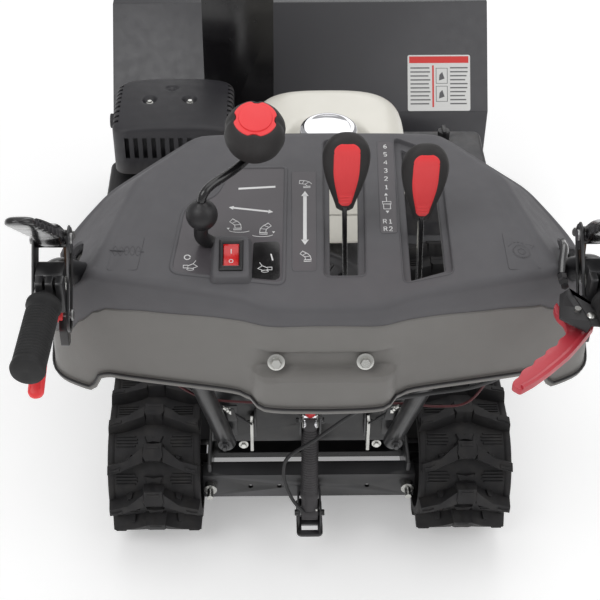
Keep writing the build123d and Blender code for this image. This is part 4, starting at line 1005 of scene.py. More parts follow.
def crank_parts():
    """Chute crank: turned ball joint on the deck, cranked rod and a knob that is notched round its cap."""
    ball = at(-137, -703, 838)
    bm = bmesh.new()
    profile = [(8.5, -16.5), (11, -15)] + [(18 * math.cos(math.radians(a)), 18 * math.sin(math.radians(a)))
                                           for a in range(-54, 66, 6)] + [(7, 17.2), (6, 18.6), (5.2, 18.6)]
    turned(bm, profile, ball, (0, 0, 1), 48)
    make("crank_ball_joint", bm, "black", "chassis", 40)
    guide = tube("crank_guide_tube", [at(-112, -696, 778), at(-122, -694, 788), at(-133, -696, 796),
                                      at(-139, -701, 808), at(-137, -703, 830)], 8.2, "black", "chassis", 24)
    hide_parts("crank_guide")
    rod = [at(-137, -703, 838), at(-137, -703, 854), at(-134, -700, 864), at(-126, -691, 869),
           at(-112, -677, 871),
           at(-98, -661, 872), at(-88, -648, 874), at(-82, -641, 879), at(-78, -639, 888)]
    bar = tube("crank_rod", rod, 5.2, "gloss_black", "chute_crank", 20)
    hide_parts("crank_handle")
    axis = Vector((0.03, -0.34, 0.94)).normalized()
    low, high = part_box("crank_knob")
    centre = (low + high) / 2

    def notched(a, h):
        dent = sum(math.exp(-((((math.degrees(a) - n + 180) % 360) - 180) / 7) ** 2) for n in (40, 130, 220,
                                                                                               310))
        return 1 - 0.075 * dent * step(h, -12, 10)

    bm = bmesh.new()
    turned(bm, [(8, -37), (11.5, -36.5), (12.5, -35), (13, -30.5), (19, -28), (26, -22), (31, -14.5),
                (34.2, -5),
                (34.9, 3), (33.8, 11), (30.8, 18), (27, 23.4), (25, 25.2), (23.6, 25.6), (22.6, 24.6),
                (22.4, 19)],
           centre, axis, 96, notched)
    knob = make("crank_knob_body", bm, "knob", "chute_crank", 45)
    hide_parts("crank_knob")

    def tabs(a, h):
        gap = max(math.exp(-((((math.degrees(a) - n + 180) % 360) - 180) / 12) ** 4) for n in (40, 130, 220,
                                                                                               310))
        return 1 + 0.15 * (1 - gap)
    bm = bmesh.new()
    turned(bm, [(0, 20), (21.2, 20), (21.2, 25.8), (20.8, 26.4), (19.6, 26.6), (0, 26.7)], centre, axis, 96,
           tabs)
    turned(bm, [(0, 26), (18.6, 26), (18.6, 27.6), (18, 28.3), (13, 29.0), (0, 29.5)], centre, axis, 72)
    make("crank_knob_cap", bm, "red", "chute_crank", 40)


# ---------------------------------------------------------------- tracks
IDLER = JOINTS["left_idler_spin"]["pos_m"]
TRACK_RUN = (AXLE.y - IDLER[1]) * 1000
TRACK_AXIS_Z = AXLE.z * 1000
BELT_R = 92
LUG_COUNT = 22
TRACK_MID = 247             # middle of a track from the middle plane
LOOP = 2 * TRACK_RUN + 2 * math.pi * BELT_R


def belt_point(travel, out):
    """Place (y, z) at a distance along the belt's outside and a height out of it; starts on top, runs back."""
    travel %= LOOP
    bend = math.pi * BELT_R
    radius = BELT_R + out
    if travel < TRACK_RUN:
        return (-travel, TRACK_AXIS_Z + radius)
    if travel < TRACK_RUN + bend:
        a = (travel - TRACK_RUN) / BELT_R
        return (-TRACK_RUN - radius * math.sin(a), TRACK_AXIS_Z + radius * math.cos(a))
    if travel < 2 * TRACK_RUN + bend:
        return (-TRACK_RUN + travel - TRACK_RUN - bend, TRACK_AXIS_Z - radius)
    a = (travel - 2 * TRACK_RUN - bend) / BELT_R
    return (radius * math.sin(a), TRACK_AXIS_Z - radius * math.cos(a))


def belt_block(bm, side, mid, points, low, high, taper=1.5):
    """A moulded block on the belt: its outline (x, travel) drawn in a little towards the top."""
    cx = sum(p[0] for p in points) / len(points)
    ct = sum(p[1] for p in points) / len(points)
    layers = []
    for out, draw in ((low, 0), (high - 1.2, taper), (high, taper + 1.0)):
        layer = []
        for x, travel in points:
            d = Vector((x - cx, travel - ct))
            d = d * max(0, 1 - draw / max(d.length, 0.1))
            y, z = belt_point(mid + ct + d.y, out)
            layer.append(at(side * TRACK_MID + cx + d.x, y, z))
        layers.append(layer)
    ring_strip(bm, layers)


def subdivided(points, step=7.0):
    out = []
    for a, b in zip(points, points[1:] + points[:1]):
        a, b = Vector(a), Vector(b)
        count = max(1, round((b - a).length / step))
        out += [tuple(a.lerp(b, k / count)) for k in range(count)]
    return out


def track(side, node):
    """Rubber belt with ribbed panels between chevron lugs, moulded as one loop."""
    half = 73
    pitch = LOOP / LUG_COUNT
    bm = bmesh.new()
    section = [(-half, -12), (-half, -2), (-half + 2, 0), (-half + 7, 0.8), (-half + 9, 0),
               (-half + 11, -1.5),
               (-20, -1.5), (-16, 0), (16, 0), (20, -1.5), (half - 11, -1.5), (half - 9, 0), (half - 7, 0.8),
               (half - 2, 0), (half, -2), (half, -12)]
    rings = []
    steps = 176
    for k in range(steps):
        travel = LOOP * k / steps
        rings.append([at(side * TRACK_MID + x, *belt_point(travel, out)) for x, out in section])
    rings.append([p.copy() for p in rings[0]])
    made = ring_strip(bm, rings, closed=True, cap=False)
    bmesh.ops.remove_doubles(bm, verts=made[0] + made[-1], dist=1e-6)
    lug_top = TRACK_AXIS_Z - BELT_R
    for index in range(LUG_COUNT):
        mid = (index + 0.5) * pitch
        for sign in (-1, 1):
            lug = [(sign * 13, -19), (sign * 13, 2), (sign * 36, 12), (sign * 52, 17), (sign * half, 20),
                   (sign * half, 8), (sign * 54, 3), (sign * 36, -4)]
            belt_block(bm, side, mid, subdivided(lug, 8), -3, lug_top - 2.2, 2.2)
            pad = [(sign * 50, 8.5), (sign * 69, 12.5), (sign * 69, 17), (sign * 50, 13)]
            belt_block(bm, side, mid, subdivided(pad, 8), lug_top - 4, lug_top - 0.5, 0.8)
            notch = [(sign * 34, -9), (sign * 44, -6), (sign * 44, 6), (sign * 34, 2)]
            belt_block(bm, side, mid, subdivided(notch, 8), -3, 11, 2)
            for rib in range(4):
                t0 = pitch / 2 - 9 + rib * 5.4
                outer = 60
                inner = 24 + 3 * abs(rib - 1.5)
                ridge = [(sign * inner, t0), (sign * outer, t0), (sign * outer, t0 + 2.4),
                         (sign * inner, t0 + 2.4)]
                belt_block(bm, side, mid, subdivided(ridge, 12), -3, 0.4, 0.3)
        crown = [(-17, -24), (17, -24), (19, -4), (14, 3), (-14, 3), (-19, -4)]
        belt_block(bm, side, mid, subdivided(crown, 8), -3, lug_top - 0.6, 3.0)
        bar = [(-11, -18), (11, -18), (11, -14), (-11, -14)]
        belt_block(bm, side, mid, subdivided(bar, 8), lug_top - 4, lug_top - 0.05, 0.4)
        tooth = [(-17, pitch / 2 - 7), (17, pitch / 2 - 7), (13, pitch / 2 + 6), (-13, pitch / 2 + 6)]
        belt_block(bm, side, mid, subdivided(tooth, 8), -3, 4.5, 3.0)
        guide = [(-8, -6), (8, -6), (8, 6), (-8, 6)]
        layers = []
        for out, draw in ((-11, 0), (-17, 1.5), (-20, 3)):
            layers.append([at(side * TRACK_MID + x * (1 - draw / 12),
                              *belt_point(mid + t * (1 - draw / 12), out))
                           for x, t in guide])
        ring_strip(bm, layers)
    belt = make(node + "_tread", bm, "rubber", "undercarriage", 35)
    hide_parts(node)


# ---------------------------------------------------------------- engine covers and tank
def guard_shell():
    """Pressed guard over the muffler: crowned lid with dished screws and louvred sides."""
    low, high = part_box("muffler_guard")
    x0, x1, y0, y1 = low.x, high.x, low.y, high.y
    z0, z1 = low.z, high.z
    cx, cy = (x0 + x1) / 2, (y0 + y1) / 2
    hx, hy = (x1 - x0) / 2, (y1 - y0) / 2
    screws = [at(-253, -62, 0).xy, at(-188, -62, 0).xy]
    dent = at(-219, -26, 0).xy

    def outline(inset, corner, count=24):
        ax, ay = hx - inset, hy - inset
        pts = []
        for qx, qy, start in ((1, 1, 0), (-1, 1, 90), (-1, -1, 180), (1, -1, 270)):
            for k in range(count // 4 + 1):
                a = math.radians(start + 90 * k / (count // 4))
                pts.append((cx + qx * (ax - corner) + corner * math.cos(a),
                            cy + qy * (ay - corner) + corner * math.sin(a)))
        return subdivided(pts, 0.006)
    rim = outline(0.0, 0.022)
    count = len(rim)

    def lid(x, y):
        u, v = (x - cx) / hx, (y - cy) / hy
        z = z1 - 0.004 - 0.010 * abs(u) ** 3 - 0.006 * v * v + 0.003
        for s in screws:
            r = (Vector((x, y)) - s).length
            z -= 0.006 * (1 - step(r, 0.0075, 0.0125))
        r = (Vector((x, y)) - dent).length
        z -= 0.002 * (1 - step(r, 0.0085, 0.0105)) * step(r, 0.0035, 0.0050)
        return z
    rings = []
    for t in (0, 0.3, 0.6, 0.8, 0.9):
        ring = []
        for x, y in rim:
            top = lid(cx + (x - cx) * 0.9, cy + (y - cy) * 0.9) - 0.010
            ring.append(Vector((x, y, z0 + (top - z0) * t)))
        rings.append(ring)
    for k in range(5):
        a = math.pi / 2 * k / 4
        s = 1 - 0.10 * (1 - math.cos(a))
        ring = []
        for x, y in rim:
            top = lid(cx + (x - cx) * 0.9, cy + (y - cy) * 0.9)
            ring.append(Vector((cx + (x - cx) * s, cy + (y - cy) * s,
                                top - 0.010 * (1 - math.sin(a)) - 0.0002)))
        rings.append(ring)
    for k in range(1, 52):
        s = 0.9 * (1 - k / 52)
        rings.append([Vector((cx + (x - cx) * s, cy + (y - cy) * s,
                              lid(cx + (x - cx) * s, cy + (y - cy) * s)))
                      for x, y in rim])
    bm = bmesh.new()
    made = ring_strip(bm, rings, cap=False)
    bm.faces.new(made[-1])
    cutters = []

    def box_cutter(a, b):
        corners = [(a[0], a[1]), (b[0], a[1]), (b[0], b[1]), (a[0], b[1])]
        cutters.append(cutter([[Vector((x, y, z)) for x, y in corners] for z in (a[2], b[2])]))
    for k in range(11):
        x = x0 + 0.020 + 0.0142 * k
        box_cutter((x, y0 - 0.01, z0 + 0.030), (x + 0.0072, y0 + 0.006, z1 - 0.026))
    for k in range(10):
        y = y0 + 0.024 + 0.0135 * k
        for xs in ((x0 - 0.01, x0 + 0.010), (x1 - 0.010, x1 + 0.01)):
            box_cutter((xs[0], y, z1 - 0.046), (xs[1], y + 0.006, z1 - 0.008))
    shell = make("muffler_guard_shell", bm, "muffler", "chassis", 40, modifiers=(solidify(2.0), cut(cutters)))
    remove(cutters)
    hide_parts("muffler_guard")
    for index, s in enumerate(screws):
        z = lid(s.x, s.y)
        washer = bmesh.new()
        turned(washer, [(5.6, 0), (5.6, 0.9), (5.0, 1.2), (2.2, 1.2)], Vector((s.x, s.y, z)), (0, 0, 1), 28)
        place = Matrix.Translation((s.x, s.y, z + 0.0009))
        prism(washer, hexagon(3.6), 3.0, place)
        make("guard_screw_%d" % (index + 1), washer, "zinc", "chassis", 35)


def tank_shell():
    """Moulded fuel tank with a dished ring round the filler."""
    low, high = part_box("fuel_tank")
    cap_low, cap_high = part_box("fuel_cap")
    mid = (cap_low + cap_high) / 2
    cx, cy = (low.x + high.x) / 2, (low.y + high.y) / 2
    hx, hy = (high.x - low.x) / 2, (high.y - low.y) / 2
    top = high.z - 0.008

    def outline(scale_in):
        pts = []
        for k in range(96):
            a = 2 * math.pi * k / 96
            ca, sa = math.cos(a), math.sin(a)
            pts.append((cx + (hx - scale_in) * math.copysign(abs(ca) ** 0.52, ca),
                        cy + (hy - scale_in) * math.copysign(abs(sa) ** 0.52, sa)))
        return pts

    def lid(x, y):
        u, v = (x - cx) / hx, (y - cy) / hy
        z = top - 0.006 * (u * u + v * v)
        r = (Vector((x, y)) - Vector((mid.x, mid.y))).length
        z -= 0.009 * (1 - step(r, 0.058, 0.069))
        return z
    seam = low.z + (top - low.z) * 0.42
    rings = []
    for z, inset in ((low.z, 0.016), (low.z + 0.004, 0.008), (low.z + 0.014, 0.002), (seam - 0.003, 0.0),
                     (seam - 0.002, 0.0), (seam - 0.002, 0.0), (seam + 0.002, 0.0), (seam + 0.003, 0.0008),
                     (top - 0.036, 0.001)):
        rings.append([Vector((x, y, z)) for x, y in outline(inset)])
    edge = outline(0.001)
    for k in range(1, 9):
        a = math.pi / 2 * k / 8
        ring = []
        for x, y in edge:
            s = 1 - 0.30 * (1 - math.cos(a))
            px, py = cx + (x - cx) * s, cy + (y - cy) * s
            ring.append(Vector((px, py, top - 0.036 + (lid(px, py) - top + 0.036) * math.sin(a))))
        rings.append(ring)
    for k in range(1, 40):
        s = 0.70 * (1 - k / 40)
        rings.append([Vector((cx + (x - cx) * s, cy + (y - cy) * s,
                              lid(cx + (x - cx) * s, cy + (y - cy) * s)))
                      for x, y in edge])
    bm = bmesh.new()
    ring_strip(bm, rings)
    flange = [[Vector((x, y, seam + dz)) for x, y in outline(inset)]
              for dz, inset in ((-0.0016, 0.002), (-0.0016, 0.0), (0.0016, 0.0), (0.0016, 0.002))]
    ring_strip(bm, flange)
    turned(bm, [(31, -10), (31, 1), (30, 2.5), (27, 2.5)], Vector((mid.x, mid.y, lid(mid.x, mid.y))),
           (0, 0, 1), 48)
    tank = make("tank_moulding", bm, "cream", "chassis", 45)
    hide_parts("fuel_tank")
    bm = bmesh.new()

    def grips(a, h):
        return 1 - 0.035 * max(0, math.cos(12 * a)) ** 4 * step(-h, -15, -6)
    height = (cap_high.z - cap_low.z) * 1000
    rim = (cap_high.x - cap_low.x) * 500
    turned(bm, [(20, -6), (rim - 1.5, -4), (rim - 0.4, -1), (rim - 0.1, 3), (rim - 0.6, height - 7),
                (rim - 2, height - 3.5), (rim - 5, height - 1.2), (rim - 9, height - 0.4),
                (rim - 11, height - 1.4),
                (14, height - 0.6), (0.1, height - 0.3)],
           Vector((mid.x, mid.y, cap_low.z)), (0, 0, 1), 96, grips)
    cap = make("tank_cap", bm, "chrome", "cap", 40)
    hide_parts("fuel_cap")


# ---------------------------------------------------------------- handles, levers and triggers
GRIP_FROM, GRIP_TO = Vector((302, -745, 797)), Vector((310, -905, 790))
CLUTCH_AXIS = JOINTS["auger_clutch_squeeze"]["pos_m"]
CLUTCH_Y, CLUTCH_Z = (CLUTCH_AXIS[1] - AXLE.y) * 1000, CLUTCH_AXIS[2] * 1000
CLUTCH_RISE = math.radians(42)


def side_plate(bm, side, x, outline, thickness):
    """A flat plate standing along the machine: outline in y and z, centred on x."""
    rings = [[at(side * (x + dx), y, z) for y, z in outline] for dx in (-thickness / 2, thickness / 2)]
    ring_strip(bm, rings)


def flat_plate(bm, outline, low, high):
    """A level plate: outline in x and y between two heights."""
    ring_strip(bm, [[at(x, y, z) for x, y in outline] for z in (low, high)])


def racetrack(y0, z0, y1, z1, radius, steps=12):
    """Outline of a slot from one end centre to the other."""
    a, b = Vector((y0, z0)), Vector((y1, z1))
    d = (b - a).normalized()
    n = Vector((-d.y, d.x))
    out = []
    for centre, sign in ((b, 1), (a, -1)):
        for k in range(steps + 1):
            t = math.pi * k / steps - math.pi / 2
            out.append(tuple(centre + (d * math.cos(t) + n * math.sin(t)) * sign * radius))
    return out


def grips():
    """Ribbed rubber grips with a collar at each end."""
    bm = bmesh.new()
    for side in (-1, 1):
        start = Vector((side * GRIP_FROM.x, GRIP_FROM.y, GRIP_FROM.z))
        axis = (Vector((side * GRIP_TO.x, GRIP_TO.y, GRIP_TO.z)) - start).normalized()
        base = start + axis * 60
        profile = [(15, 0), (18.6, 0.4), (19.6, 1.6), (19.6, 5), (18.4, 7), (17.6, 9), (17.4, 14)]
        for k in range(17):
            h = 16 + k * 4.4
            profile += [(17.4, h), (18.1, h + 0.9), (18.1, h + 2.3), (17.4, h + 3.2)]
        profile += [(17.4, 92), (18.6, 95), (19, 99), (17.6, 102.4), (14, 103.6), (4, 104), (0.1, 103.4)]
        turned(bm, profile, at(base.x, base.y, base.z), axis, 48)
    piece = make("grip_rubbers", bm, "grip", "chassis", 30)
    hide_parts("hand_grips")


def brackets():
    """Folded lever brackets: a looped cheek, a cam strip, pivot pins and the clamp on the tube."""
    steel = bmesh.new()
    for side in (-1, 1):
        outer, inner = (racetrack(-792, 762, -733, 826, radius) for radius in (15, 11))
        rings = []
        for ring, x in ((outer, 281), (outer, 284), (inner, 284), (inner, 281), (outer, 281)):
            rings.append([at(side * x, y, z) for y, z in ring])
        ring_strip(steel, rings, cap=False)
        side_plate(steel, side, 282.4, rounded([(-742, 812), (-724, 812), (-724, 843), (-742, 843)], 6), 2.4)
        side_plate(steel, side, 320.5, rounded(outer, 1, 1), 3)
        side_plate(steel, side, 290,
                   rounded([(-800, 728), (-786, 722), (-776, 748), (-790, 764), (-800, 752)], 4), 9)
        for k in range(3):
            side_plate(steel, side, 288 + 11 * k,
                       rounded([(-799, 776), (-783, 776), (-783, 818), (-799, 818)], 3), 8)
        side_plate(steel, side, 302, rounded([(-778, 776), (-750, 784), (-750, 812), (-778, 812)], 5), 30)
    piece = make("lever_bracket_plates", steel, "paint", "chassis", 30, modifiers=(bevel(0.7, 2),))
    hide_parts("lever_brackets")
    cam = bmesh.new()
    bright = bmesh.new()
    pins = bmesh.new()
    for side in (-1, 1):
        side_plate(cam, side, 287.4,
                   rounded([(-748, 792), (-724, 800), (-716, 828), (-728, 836), (-742, 824)], 5), 3)
        for y, z, reach in ((CLUTCH_Y, CLUTCH_Z, 325), (-785, 762, 324)):
            turned(pins, [(0.1, 0), (6, 0.2), (6.4, 1), (6.4, 2.6), (4, 3), (4, reach - 281),
                          (6, reach - 280.5),
                          (6, reach - 278.5), (0.1, reach - 278)], at(side * 278.5, y, z), (side, 0, 0), 24)
        for dy, r in ((0, 7.6), (-7, 6.4)):
            turned(bright, [(0.1, 0), (r - 0.6, 0), (r, 0.6), (r, 3.4), (r - 0.6, 4), (0.1, 4)],
                   at(side * 285, -762 + dy, 790), (side, 0, 0), 6)
        turned(bright, [(0.1, 0), (4.6, 0.4), (5.2, 1.6), (5.2, 6), (4.4, 7), (0.1, 7.4)],
               at(side * 287, -714, 818), (-side * 0.94, -0.2, 0.3), 24)
        turned(bright, [(0.1, 0), (2.6, 0.3), (2.8, 1.4), (0.1, 2)], at(side * 280.6, -786, 762),
               (-side, 0, 0), 16)
    make("lever_cam_strips", cam, "bronze", "chassis", 35, modifiers=(bevel(0.4, 2),))
    make("lever_bracket_bolts", bright, "zinc", "chassis", 30)
    make("lever_pivot_pins", pins, "steel", "chassis", 35)


def clutch_cover(side, node, body):
    """Moulded squeeze lever: crowned back, finger waves along its edges and a rounded tip."""
    bm = bmesh.new()
    along = Vector((0, -math.cos(CLUTCH_RISE), math.sin(CLUTCH_RISE)))
    up = Vector((0, math.sin(CLUTCH_RISE), math.cos(CLUTCH_RISE)))
    pivot = at(side * 302, CLUTCH_Y, CLUTCH_Z)
    rings = []
    steps = 72
    for k in range(steps + 1):
        u = -13 + 206 * k / steps
        t = max(0, min(1, u / 193))
        tip = math.sqrt(max(0.02, 1 - max(0, (u - 178) / 15.4) ** 2))
        heel = math.sqrt(max(0.02, 1 - min(0, (u + 1) / 12.4) ** 2))
        wave = 0.9 * math.cos(2 * math.pi * (u - 66) / 24) * step(u, 40, 60) * (1 - step(u, 165, 176))
        half = (16.4 - 1.2 * t + wave) * min(tip, 1) * (0.8 + 0.2 * heel)
        top = (11 + 5 * math.exp(-((u - 22) / 26) ** 2) - 4.5 * t) * tip * heel
        low = (-9 + 6.0 * step(u, 6, 40)) * tip * heel
        ring = []
        for i in range(28):
            a = 2 * math.pi * i / 28
            ca, sa = math.cos(a), math.sin(a)
            x = half * math.copysign(abs(ca) ** 0.6, ca)
            v = (top if sa > 0 else -low) * math.copysign(abs(sa) ** 0.7, sa)
            ring.append(pivot + Vector((x / 1000, 0, 0)) + along * (u / 1000) + up * (v / 1000))
        rings.append(ring)
    ring_strip(bm, rings)
    turned(bm, [(0.1, 0), (9.4, 0.2), (10, 1), (10, 33), (9.4, 33.8), (0.1, 34)],
           pivot - Vector((0.017, 0, 0)), (1, 0, 0), 32)
    cover = make(node + "_cover", bm, "gloss_black", body, 45)
    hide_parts(node)
    rim = bmesh.new()
    for edge in (-1, 1):
        line = [pivot + Vector((edge * 0.0128, 0,
                                0)) + along * (u / 1000) + up * ((9.6 - 4.2 * u / 193) / 1000)
                for u in range(52, 172, 6)]
        tube_mesh(rim, line, lambda share: 1.6 * math.sin(math.pi * min(0.98, share + 0.02)) ** 0.4, 10)
    make(node + "_ribs", rim, "gloss_black", body, 45)


def trigger_blade(side, node, body):
    """Red finger trigger hanging under a grip, with a raised rib along it."""
    line = [(-785, 762, 8.4), (-800, 760, 7.6), (-820, 757, 7.4), (-842, 751, 7.8), (-862, 746, 8.0),
            (-878, 742, 7.4), (-888, 739, 5.0), (-891.5, 738, 1.5)]
    bm = bmesh.new()
    pts = curve_points([(y, z, r) for y, z, r in line], 6)
    rings = []
    for i, p in enumerate(pts):
        ahead = pts[min(i + 1, len(pts) - 1)] - pts[max(i - 1, 0)]
        d = Vector((ahead.x, ahead.y)).normalized()
        n = Vector((-d.y, d.x))
        ring = []
        for k in range(24):
            a = 2 * math.pi * k / 24
            ca, sa = math.cos(a), math.sin(a)
            x = 8.5 * math.copysign(abs(ca) ** 0.6, ca) * min(1, p.z / 6)
            v = p.z * math.copysign(abs(sa) ** 0.75, sa)
            ring.append(at(side * 310 + x, p.x + n.x * v, p.y + n.y * v))
        rings.append(ring)
    ring_strip(bm, rings)
    turned(bm, [(0.1, 0), (7.6, 0.2), (8, 1), (8, 27), (7.6, 27.8), (0.1, 28)], at(side * 290, -785, 762),
           (side, 0, 0), 28)
    for edge in (-5.4, 5.4):
        strip = [at(side * 310 + edge, p.x, p.y + p.z * 0.98) for p in pts[6:-8]]
        tube_mesh(bm, strip, 0.9, 8)
    blade = make(node + "_blade", bm, "red", body, 45)
    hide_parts(node)


def tilt_release():
    """Tilt lever: hooked head, scalloped finger side and a rib along its outer edge."""
    outline = rounded([(259, -771), (254, -779), (254, -788), (256, -797), (261, -806), (262, -817),
                       (259, -826),
                       (250, -834), (247, -843), (240, -846), (233, -852), (232, -857), (225, -862),
                       (219, -866),
                       (216, -874), (209, -877), (203, -882), (199, -891), (192, -897), (189, -904),
                       (197, -912),
                       (214, -900), (233, -883), (259, -857), (281, -829), (293, -812), (286, -800),
                       (264, -798)],
                      3.2, 4)
    bm = bmesh.new()
    flat_plate(bm, outline, 756, 764)
    make_body = make("tilt_lever_arm", bm, "lever_red", "tilt_release", 35, modifiers=(bevel(1.1, 3, 30),))
    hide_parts("tilt_lever")
    rib = bmesh.new()
    inner = [(198, -906), (214, -894), (230, -879), (254, -854), (275, -827), (286, -812)]
    outer = [(200, -911), (217, -899), (235, -883), (260, -857), (282, -828), (291, -813)]
    edge = curve_points([(x, y, 0) for x, y in inner], 4)
    far = curve_points([(x, y, 0) for x, y in outer], 4)
    rings = []
    for a, b in zip(edge, far):
        m = (a + b) / 2
        rings.append([at(a.x, a.y, 763), at(a.x, a.y, 766.4), at(m.x, m.y, 767.4), at(b.x, b.y, 766),
                      at(b.x, b.y, 763)])
    ring_strip(rib, rings)
    make("tilt_lever_rib", rib, "lever_red", "tilt_release", 30)
    plate = bmesh.new()
    main = rounded([(268, -776), (270, -789), (322, -793), (322, -844), (300, -840), (280, -838),
                    (281, -832)], 2, 3)
    flat_plate(plate, main, 786, 789)
    facet = [(at(259, -777, 780), at(268, -777, 788)), (at(252, -815, 779), at(281, -832, 788)),
             (at(277, -839, 780), at(281, -838, 787))]
    rings = []
    for a, b in facet:
        drop = Vector((0, 0, -0.0025))
        rings.append([a, b, b + drop, a + drop])
    ring_strip(plate, rings)
    make("tilt_bracket", plate, "black", "chassis", 25, modifiers=(bevel(0.6, 2, 30),))
    rivet = bmesh.new()
    turned(rivet, [(0.1, 0), (5.4, 0), (5.4, 0.6), (4.6, 1.6), (2.6, 2.3), (0.1, 2.6)], at(284, -824, 789),
           (0, 0, 1), 28)
    turned(rivet, [(3.6, 0), (3.6, 34)], at(272, -810, 754), (0, 0, 1), 20)
    make("tilt_bracket_rivet", rivet, "zinc", "chassis", 35)
    sleeve = bmesh.new()
    tube_mesh(sleeve, curve_points([at(283, -668, 770), at(280, -690, 776), at(272, -722, 779),
                                    at(266, -748, 783)], 8),
              lambda share: 3.4 + 1.6 * step(share, 0.0, 0.35), 18)
    make("tilt_cable_boot", sleeve, "gloss_black", "chassis", 40)
    end = bmesh.new()
    turned(end, [(5.2, 0), (5.6, 1), (5.6, 11), (4.6, 12), (4.6, 22), (0.1, 23)], at(266, -748, 783),
           (-0.04, -0.98, 0.12), 6)
    make("tilt_cable_ferrule", end, "black", "chassis", 30)


# ---------------------------------------------------------------- chassis details
def console_bolts():
    """Flange bolts in the console's pocket and through the handle tubes."""
    for index, x in enumerate((-55, 46)):
        piece = bolt("console_bolt_%d" % (index + 1), at(x, -797, 700), (0, -0.93, 0.36), "chassis", 6.2, 6.5)
        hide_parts("chassis_bolts")
    for index, side in enumerate((-1, 1)):
        piece = bolt("tube_bolt_%d" % (index + 1), at(side * 133, -471, 225), (0, -1, 0.12), "chassis", 6.5,
                     6,
                     mat="paint", stud=6)
        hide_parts("chassis_bolts")
        bolt("tube_bolt_%d" % (index + 3), at(side * 104, -461, 215), (0, -1, 0.12), "chassis", 4.6, 4.5)


def strut_parts():
    """Ribbed boot over the strut's rod, forked ends and their pins."""
    foot = Vector(JOINTS["strut_swing"]["pos_m"])
    axis = (at(0, -444, 254) - foot).normalized()
    base = foot + axis * 0.030
    length = 148
    bm = bmesh.new()
    profile = [(11, 0), (14.4, 0.4), (15, 2), (15, 10), (13.6, 12)]
    count = 26
    for k in range(count):
        h = 14 + k * (length - 34) / count
        profile += [(13.6, h), (12.4, h + 1.6), (12.4, h + 2.4), (13.6, h + 3.6)]
    profile += [(13.8, length - 18), (14.4, length - 14), (14.4, length - 4), (12.6, length - 1), (9, length)]
    turned(bm, profile, base, axis, 40)
    boot = make("strut_boot", bm, "boot", None, 35)
    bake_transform(boot)
    red = bmesh.new()
    turned(red, [(8.4, 0), (9, 1), (9, 6), (8.2, 7), (6, 7.4)], base + axis * (length / 1000), axis, 28)
    make("strut_wiper", red, "red", "strut_upper", 35)
    across = Vector((1, 0, 0))
    ahead = axis.cross(across)
    for name, body, centre, reach, flip in (("strut_foot", "strut_lower", foot, 12, 1),
                                            ("strut_head", "strut_upper", at(0, -444, 254), 12, -1)):
        fork = bmesh.new()
        for side in (-1, 1):
            outline = rounded([(-8, -9), (8, -9), (9, reach), (-9, reach)], [8, 8, 2, 2])
            rings = []
            for x in (side * 9.5, side * 12.5):
                rings.append([centre + across * (x / 1000) + ahead * (u / 1000) + axis * (flip * v / 1000)
                              for u, v in outline])
            ring_strip(fork, rings)
        rings = []
        for v in (reach - 3, reach):
            rings.append([centre + across * (x / 1000) + ahead * (u / 1000) + axis * (flip * v / 1000)
                          for x, u in rounded([(-12.5, -9), (12.5, -9), (12.5, 9), (-12.5, 9)], 1)])
        ring_strip(fork, rings)
        make(name + "_fork", fork, "zinc", body, 30, modifiers=(bevel(0.5, 2),))
        pin = bmesh.new()
        turned(pin, [(0.1, -17.6), (6.6, -17.4), (7, -16.6), (7, -13.4), (4, -13), (4, 18), (3.2, 19),
                     (0.1, 19.2)],
               centre, across, 24)
        line = [centre + across * (x / 1000) + ahead * (u / 1000) for x, u in
                ((16.4, 6), (16.4, 0), (16.4, -6), (17.4, -8.4), (19.4, -8.6), (20.4, -6), (18.4, -1))]
        tube_mesh(pin, curve_points(line, 5), 0.8, 8)
        make(name + "_pin", pin, "steel", body, 35)


def cables():
    """Control cables with their ferrules, the strut's release cable and the plug lead."""
    loop = [at(-10, -506, 106), at(-26, -503, 128), at(-38, -500, 160), at(-42, -498, 192),
            at(-34, -497, 224),
            at(8, -496, 262), at(54, -500, 312), at(94, -520, 362), at(160, -560, 418), at(222, -598, 470),
            at(262, -632, 540), at(280, -650, 640), at(284, -662, 740), at(283, -668, 772)]
    release = tube("strut_release_cable", loop, 2.9, "cable", None, 12, 10)
    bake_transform(release)
    tube("brake_cable", [at(-232, -500, 470), at(-212, -480, 380), at(-168, -472, 330), at(-123, -468, 316),
                         at(-30, -466, 309), at(70, -466, 309), at(135, -468, 309), at(190, -472, 306),
                         at(236, -476, 318), at(262, -486, 380), at(268, -520, 460)], 1.9, "cable_red",
                         "chassis", 10)
    for side, body, name in ((-1, "left_arm", "auger"), (1, "right_arm", "drive")):
        run = [at(side * 91, -452, 250), at(side * 101, -456, 262), at(side * 122, -462, 286),
               at(side * 148, -466, 312), at(side * 182, -474, 350), at(side * 226, -492, 420),
               at(side * 262, -560, 560), at(side * 280, -640, 690), at(side * 287, -700, 775)]
        cable = tube(name + "_clutch_cable", run, lambda share: 2.8 if share > 0.14 else 1.3, "cable", None,
                     12, 8)
        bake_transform(cable)
        ends = bmesh.new()
        aim = (run[2] - run[1]).normalized()
        turned(ends, [(0.1, 0), (4, 0.4), (4, 12), (3, 13), (3, 20), (0.1, 20.4)], run[2], aim, 16)
        turned(ends, [(5.4, 4), (5.4, 7)], run[2], aim, 6)
        make(name + "_cable_ferrule", ends, "zinc", "chassis", 30)
        stay = bmesh.new()
        flat = rounded([(side * 112, 272), (side * 134, 270), (side * 136, 290), (side * 118, 298)], 4)
        rings = [[at(x, y, z) for x, z in flat] for y in (-466, -463)]
        ring_strip(stay, rings)
        make(name + "_cable_stay", stay, "paint", "chassis", 30, modifiers=(bevel(0.5, 2),))
    tube("plug_lead", [at(-56, -338, 440), at(-100, -330, 452), at(-140, -290, 470), at(-150, -246, 484)],
         3.4, "cable", "chassis", 12)


